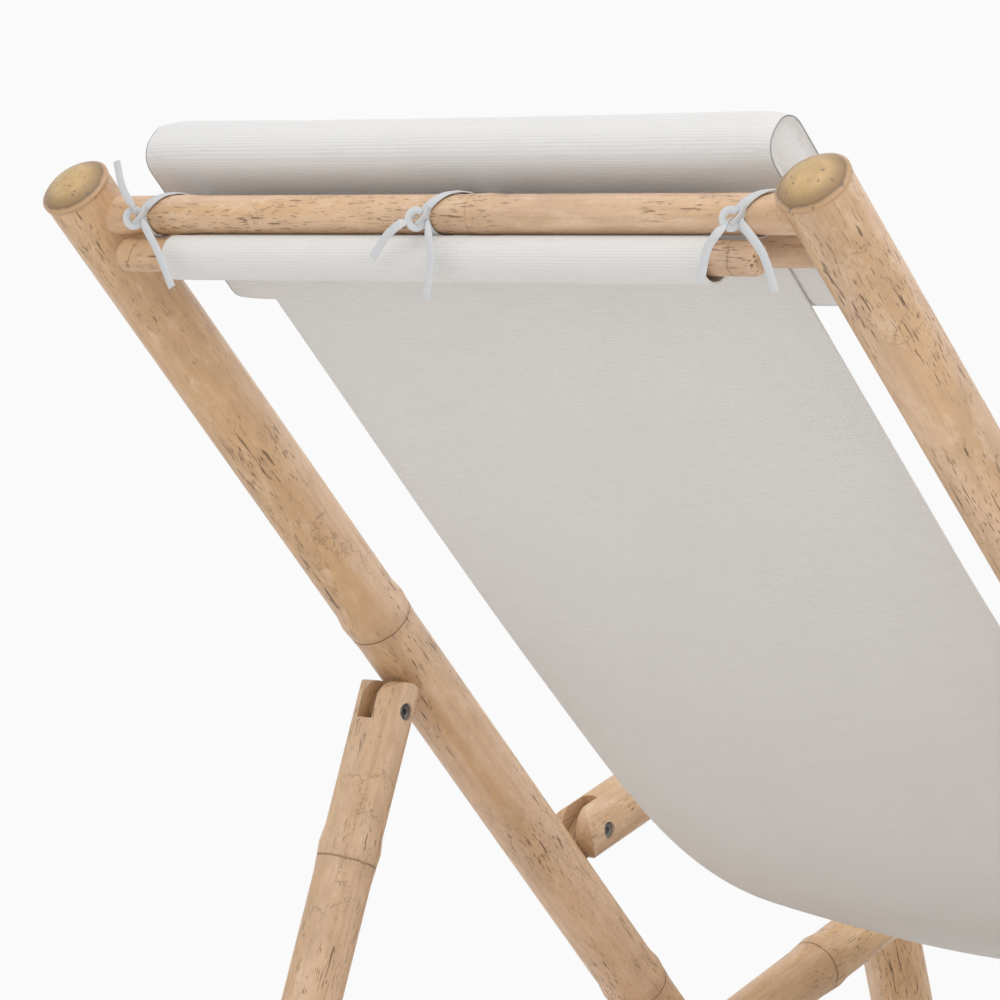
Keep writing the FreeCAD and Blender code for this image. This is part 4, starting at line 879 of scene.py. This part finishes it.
def tape_strip(name, points, facing, width, thickness, twist=0.0):
    """Flat tape along points; facing is the side that its broad face turns to."""
    rows = len(points) - 1
    strip = grid(name, 2, rows)
    lengths = [0.0]
    for first, second in zip(points, points[1:]):
        lengths.append(lengths[-1] + (second - first).length)

    def rule(across_share, along_share):
        number = round(along_share * rows)
        ahead = points[min(number + 1, rows)] - points[max(number - 1, 0)]
        face = facing(number / rows) if callable(facing) else facing
        side = ahead.cross(face).normalized()
        normal = side.cross(ahead).normalized()
        turn = Matrix.Rotation(twist * number / rows, 3, ahead.normalized())
        offset = (across_share - 0.5) * width
        bow = TAPE_CROWN * (1 - (2 * across_share - 1) ** 2)
        return points[number] + turn @ (side * offset + normal * bow), lengths[number]

    lay(strip, rule)
    apply_modifier(strip, "SOLIDIFY", thickness=thickness, offset=0.0)
    apply_modifier(strip, "BEVEL", width=thickness * 0.4, segments=2, limit_method="ANGLE")
    smooth(strip, 60.0)
    return strip


def ring_path(centre, radius, first, second, count, start, sweep, drift):
    """Points on a helix: an arc spanned by two directions, and its drift from end to end."""
    points = []
    for number in range(count + 1):
        angle = math.radians(start + sweep * number / count)
        spot = centre + first * (radius * math.cos(angle)) + second * (radius * math.sin(angle))
        points.append(spot + drift * (number / count))
    return points


class MakeTies(Operator):
    """Three cotton ties knotted behind the top rail"""

    bl_idname = "recliner.ties"
    bl_label = "Pillow ties"

    def execute(self, context):
        sizes = context.scene.recliner_sizes
        material = tape("cotton tape")
        rail = back_point(0.0, TOP_RAIL_REACH, 0.0)
        for side, tails in TIE_PATHS.items():
            knot = Vector(KNOT_SPOTS[side])
            hub = Vector((knot.x, rail.y, rail.z))
            strips = [self.wrap(hub, sizes.tie_width, *wrap) for wrap in TIE_WRAPS]
            strips.append(self.anchor(hub, sizes.tie_width))
            for number, tail in enumerate(tails):
                strips.append(tape_strip(f"tail{number}", smooth_path(tail, 22), BACK,
                                         sizes.tie_width * TAIL_WIDTH, TAPE_THICKNESS))
            strips += self.knot(knot, sizes.tie_width)
            clear_selection()
            for strip in strips:
                strip.select_set(True)
            context.view_layer.objects.active = strips[0]
            bpy.ops.object.join()
            tie = context.object
            tie.name = f"tie_{side}"
            tie.data.name = tie.name
            dress(tie, material)
            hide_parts(f"pillow_tie_{side}")
            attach(tie, "back_frame")
        return {"FINISHED"}

    def wrap(self, hub, width, name, start, sweep, drift):
        """Half of the tape's way round the rail."""
        def outward(share):
            angle = math.radians(start + sweep * share)
            return Vector((0.0, math.cos(angle), math.sin(angle)))

        path = ring_path(hub, WRAP_RADIUS, BACK, UP, 20, start, sweep, ACROSS * drift)
        return tape_strip(name, path, outward, width, TAPE_THICKNESS)

    def anchor(self, hub, width):
        """Short tape from the wrap's end to the pillow's back."""
        drift = ACROSS * TIE_WRAPS[0][3]
        start = hub + BACK * -0.0117 + UP * 0.0079 + drift
        end = hub + BACK_FRONT * 0.0262 + drift + UP_BACK * -0.012
        path = smooth_path((start, (start + end) / 2, end), 6)
        return tape_strip("anchor", path, UP_BACK, width, TAPE_THICKNESS)

    def knot(self, centre, width):
        """Overhand knot: a flat loop of tape, and the fold that comes out of it."""
        toward = (BACK * 0.79 - ACROSS * 0.61).normalized()
        right = toward.cross(UP) * -1
        middle = centre + toward * 0.0055
        loop_centre = middle - right * 0.0018 - UP * 0.0006
        tilt = (toward + right * 0.25 + UP * 0.15).normalized()
        loop = ring_path(loop_centre, 0.0050, right, UP * 1.12, 30, 40.0, 330.0, toward * 0.0022)
        parts = [tape_strip("loop", loop, tilt, width * LOOP_WIDTH, KNOT_THICKNESS)]
        fold = [loop_centre - UP * 0.0038 + right * 0.0014 + toward * 0.0014,
                middle + right * 0.0036 + toward * 0.0032,
                middle + right * 0.0064 + UP * 0.0066 + toward * 0.0012]
        facing = (toward * 0.8 + right * 0.6).normalized()
        parts.append(tape_strip("fold", smooth_path(fold, 10), facing, width * FOLD_WIDTH,
                                KNOT_THICKNESS, math.radians(35)))
        return parts


# Hinges in side view: along the rails, then off them.
LEG_PIVOT, ARM_HINGE, STRUT_HINGE = (0.302, 0.0), (0.196, 0.04675), (0.446, -0.0457)
POLE_TONES = {"guide rails": 0.28, "dowels": 0.22, "top rail": -0.20}
POLE_CRACKLE, DARK_POLE_CRACKLE = 0.32, 0.60


class FinishPoles(Operator):
    """Bamboo, plug, hardwood and steel finishes of the frame's pieces"""

    bl_idname = "recliner.finishes"
    bl_label = "Finishes"

    def execute(self, context):
        leg = heading_vector(LEG_HEADING)
        strut = heading_vector(STRUT_HEADING)
        leg_pivot = seat_point(0.0, *LEG_PIVOT)
        arm_hinge = back_point(0.0, *ARM_HINGE)
        strut_hinge = back_point(0.0, *STRUT_HINGE)
        middle = Vector((0, 0, 0))
        families = (
            ("back rail", UP_BACK, PIVOT, (0.060, 0.494), ("back_rail_left", "back_rail_right")),
            ("seat rail", ALONG_SEAT, PIVOT, (-0.43, 0.13, 0.47),
             ("seat_rail_left", "seat_rail_right")),
            ("strut", strut, strut_hinge, (0.1145,), ("strut_left", "strut_right")),
            ("armrest", ALONG_SEAT, arm_hinge, (0.168,), ("armrest_left", "armrest_right")),
            ("front leg", leg, leg_pivot, (-0.21, 0.07), ("front_leg_left", "front_leg_right")),
            ("top rail", ACROSS, middle, (), ("top_rail",)),
            ("guide rails", ACROSS, middle, (), ("top_guide_rail", "front_guide_rail")),
            ("cross rails", ACROSS, middle, (0.070, -0.060, 0.150, -0.120, 0.090, -0.150, 0.040),
             ("front_rail", "pivot_cross_rail", "strut_foot_bar", "leg_stretcher")),
            ("dowels", ACROSS, middle, (-0.235,), ("sling_top_dowel", "sling_front_dowel")),
            ("ground bar", ACROSS, middle, (0.120,), ("ground_bar",)),
        )
        for name, direction, origin, stations, members in families:
            tone = POLE_TONES.get(name, 0.0)
            crackle = DARK_POLE_CRACKLE if tone > 0 else POLE_CRACKLE
            material = bamboo("bamboo " + name, direction, origin, stations, tone, crackle)
            for member in members:
                dress(NODES[member], material)
        plugs = (
            ("back plug", UP_BACK, PIVOT, 0.300, ("rail_cap_left", "rail_cap_right")),
            ("seat plug", ALONG_SEAT, PIVOT, 0.250, ("seat_rail_cap_left", "seat_rail_cap_right")),
            ("leg plug", leg, leg_pivot, 0.300, ("leg_cap_left", "leg_cap_right")),
        )
        for name, direction, origin, offset, members in plugs:
            material = plug_finish(name, direction, origin, offset)
            for member in members:
                dress(NODES[member], material)
        cleats = hardwood("cleat wood", ALONG_SEAT)
        tongues = hardwood("tongue wood", BACK_FRONT)
        metal = steel("plated steel")
        for name, node in NODES.items():
            if name.startswith("notch_cleat"):
                dress(node, cleats)
            elif "tongue" in name:
                dress(node, tongues)
            elif any(word in name for word in ("screw", "bolt", "nuts", "washer")):
                dress(node, metal)
        return {"FINISHED"}


class MakeStage(Operator):
    """Floor, soft studio light and the camera"""

    bl_idname = "recliner.stage"
    bl_label = "Stage"

    def execute(self, context):
        self.camera(context)
        self.floor(context)
        self.lamps(context)
        self.world(context)
        context.scene.view_settings.view_transform = "Standard"
        return {"FINISHED"}

    def camera(self, context):
        """Long lens behind the chair, at the photograph's viewing angle."""
        clear_selection()
        turn = (math.radians(90 - CAMERA_DOWN), 0.0, math.radians(CAMERA_HEADING))
        bpy.ops.object.camera_add(location=CAMERA_PLACE, rotation=turn)
        camera = context.object
        camera.data.lens = CAMERA_LENS
        camera.data.sensor_width = 36.0
        camera.data.clip_end = 60.0
        context.scene.camera = camera

    def floor(self, context):
        """Pale floor that keeps the chair's shadow and fades into the backdrop."""
        clear_selection()
        bpy.ops.mesh.primitive_circle_add(vertices=96, radius=14.0, fill_type="NGON",
                                          location=(0.0, 0.0, -0.0005))
        floor = context.object
        floor.name = "floor"
        shader = Shader("studio floor")
        shader.finish((0.90, 0.90, 0.90, 1.0), 0.85, Specular_IOR_Level=0.1)
        source = shader.add("ShaderNodeTexCoord").outputs["Object"]
        reach = shader.add("ShaderNodeVectorMath", {0: source}, operation="LENGTH").outputs[1]
        fade = shader.ramp(reach, 0.8, 1.7)
        share = shader.maths("MULTIPLY", fade, shader.seen())
        white = shader.add("ShaderNodeEmission", {0: BACKDROP, 1: 1.0})
        mixed = shader.add("ShaderNodeMixShader",
                           {0: share, 1: shader.surface.outputs[0], 2: white.outputs[0]})
        output = shader.tree.nodes["Material Output"]
        shader.feed(output.inputs["Surface"], mixed.outputs[0])
        dress(floor, shader.material)

    def lamps(self, context):
        """Large soft lamps: one overhead, one beside the camera, one in front."""
        target = Vector((0.0, 0.1, 0.5))
        lamps = (
            ("overhead", (-0.6, 1.2, 3.4), 3.2, 25.0),
            ("beside camera", (-3.2, 2.2, 1.7), 2.4, 15.0),
            ("front", (1.6, -3.2, 2.2), 2.6, 12.0),
        )
        for name, place, width, power in lamps:
            clear_selection()
            aim = (target - Vector(place)).to_track_quat("-Z", "Y").to_euler()
            bpy.ops.object.light_add(type="AREA", location=place, rotation=aim)
            lamp = context.object
            lamp.name = name
            lamp.data.shape = "DISK"
            lamp.data.size = width
            lamp.data.energy = power

    def world(self, context):
        """Even grey light, seen as a white backdrop."""
        world = bpy.data.worlds.new("studio")
        context.scene.world = world
        world.use_nodes = True
        nodes = Nodes(world.node_tree)
        light = nodes.tree.nodes["Background"]
        nodes.feed(light.inputs[0], (1.0, 1.0, 1.0, 1.0))
        nodes.feed(light.inputs[1], WORLD_STRENGTH)
        white = nodes.add("ShaderNodeBackground", {0: BACKDROP, 1: 1.0})
        mixed = nodes.add("ShaderNodeMixShader",
                          {0: nodes.seen(), 1: light.outputs[0], 2: white.outputs[0]})
        nodes.feed(nodes.tree.nodes["World Output"].inputs[0], mixed.outputs[0])


class ReclinerPanel(Panel):
    """Buttons that build the recliner's pieces"""

    bl_idname = "VIEW3D_PT_recliner"
    bl_label = "Recliner"
    bl_space_type = "VIEW_3D"
    bl_region_type = "UI"
    bl_category = "Recliner"

    def draw(self, context):
        column = self.layout.column()
        for operator in OPERATORS:
            column.operator(operator.bl_idname)
        for group in (context.scene.recliner_sizes, context.scene.recliner_colours):
            for name in group.__annotations__:
                column.prop(group, name)


OPERATORS = (MakeStage, MakeSling, MakePillow, MakeTies, FinishPoles)
CLASSES = (ReclinerSizes, ReclinerColours, *OPERATORS, ReclinerPanel)


def register():
    for item in CLASSES:
        bpy.utils.register_class(item)
    bpy.types.Scene.recliner_sizes = PointerProperty(type=ReclinerSizes)
    bpy.types.Scene.recliner_colours = PointerProperty(type=ReclinerColours)


def unregister():
    del bpy.types.Scene.recliner_colours
    del bpy.types.Scene.recliner_sizes
    for item in reversed(CLASSES):
        bpy.utils.unregister_class(item)


def main():
    register()
    bpy.ops.recliner.stage()
    bpy.ops.recliner.sling()
    bpy.ops.recliner.pillow()
    bpy.ops.recliner.ties()
    bpy.ops.recliner.finishes()


if __name__ == "__main__":
    main()
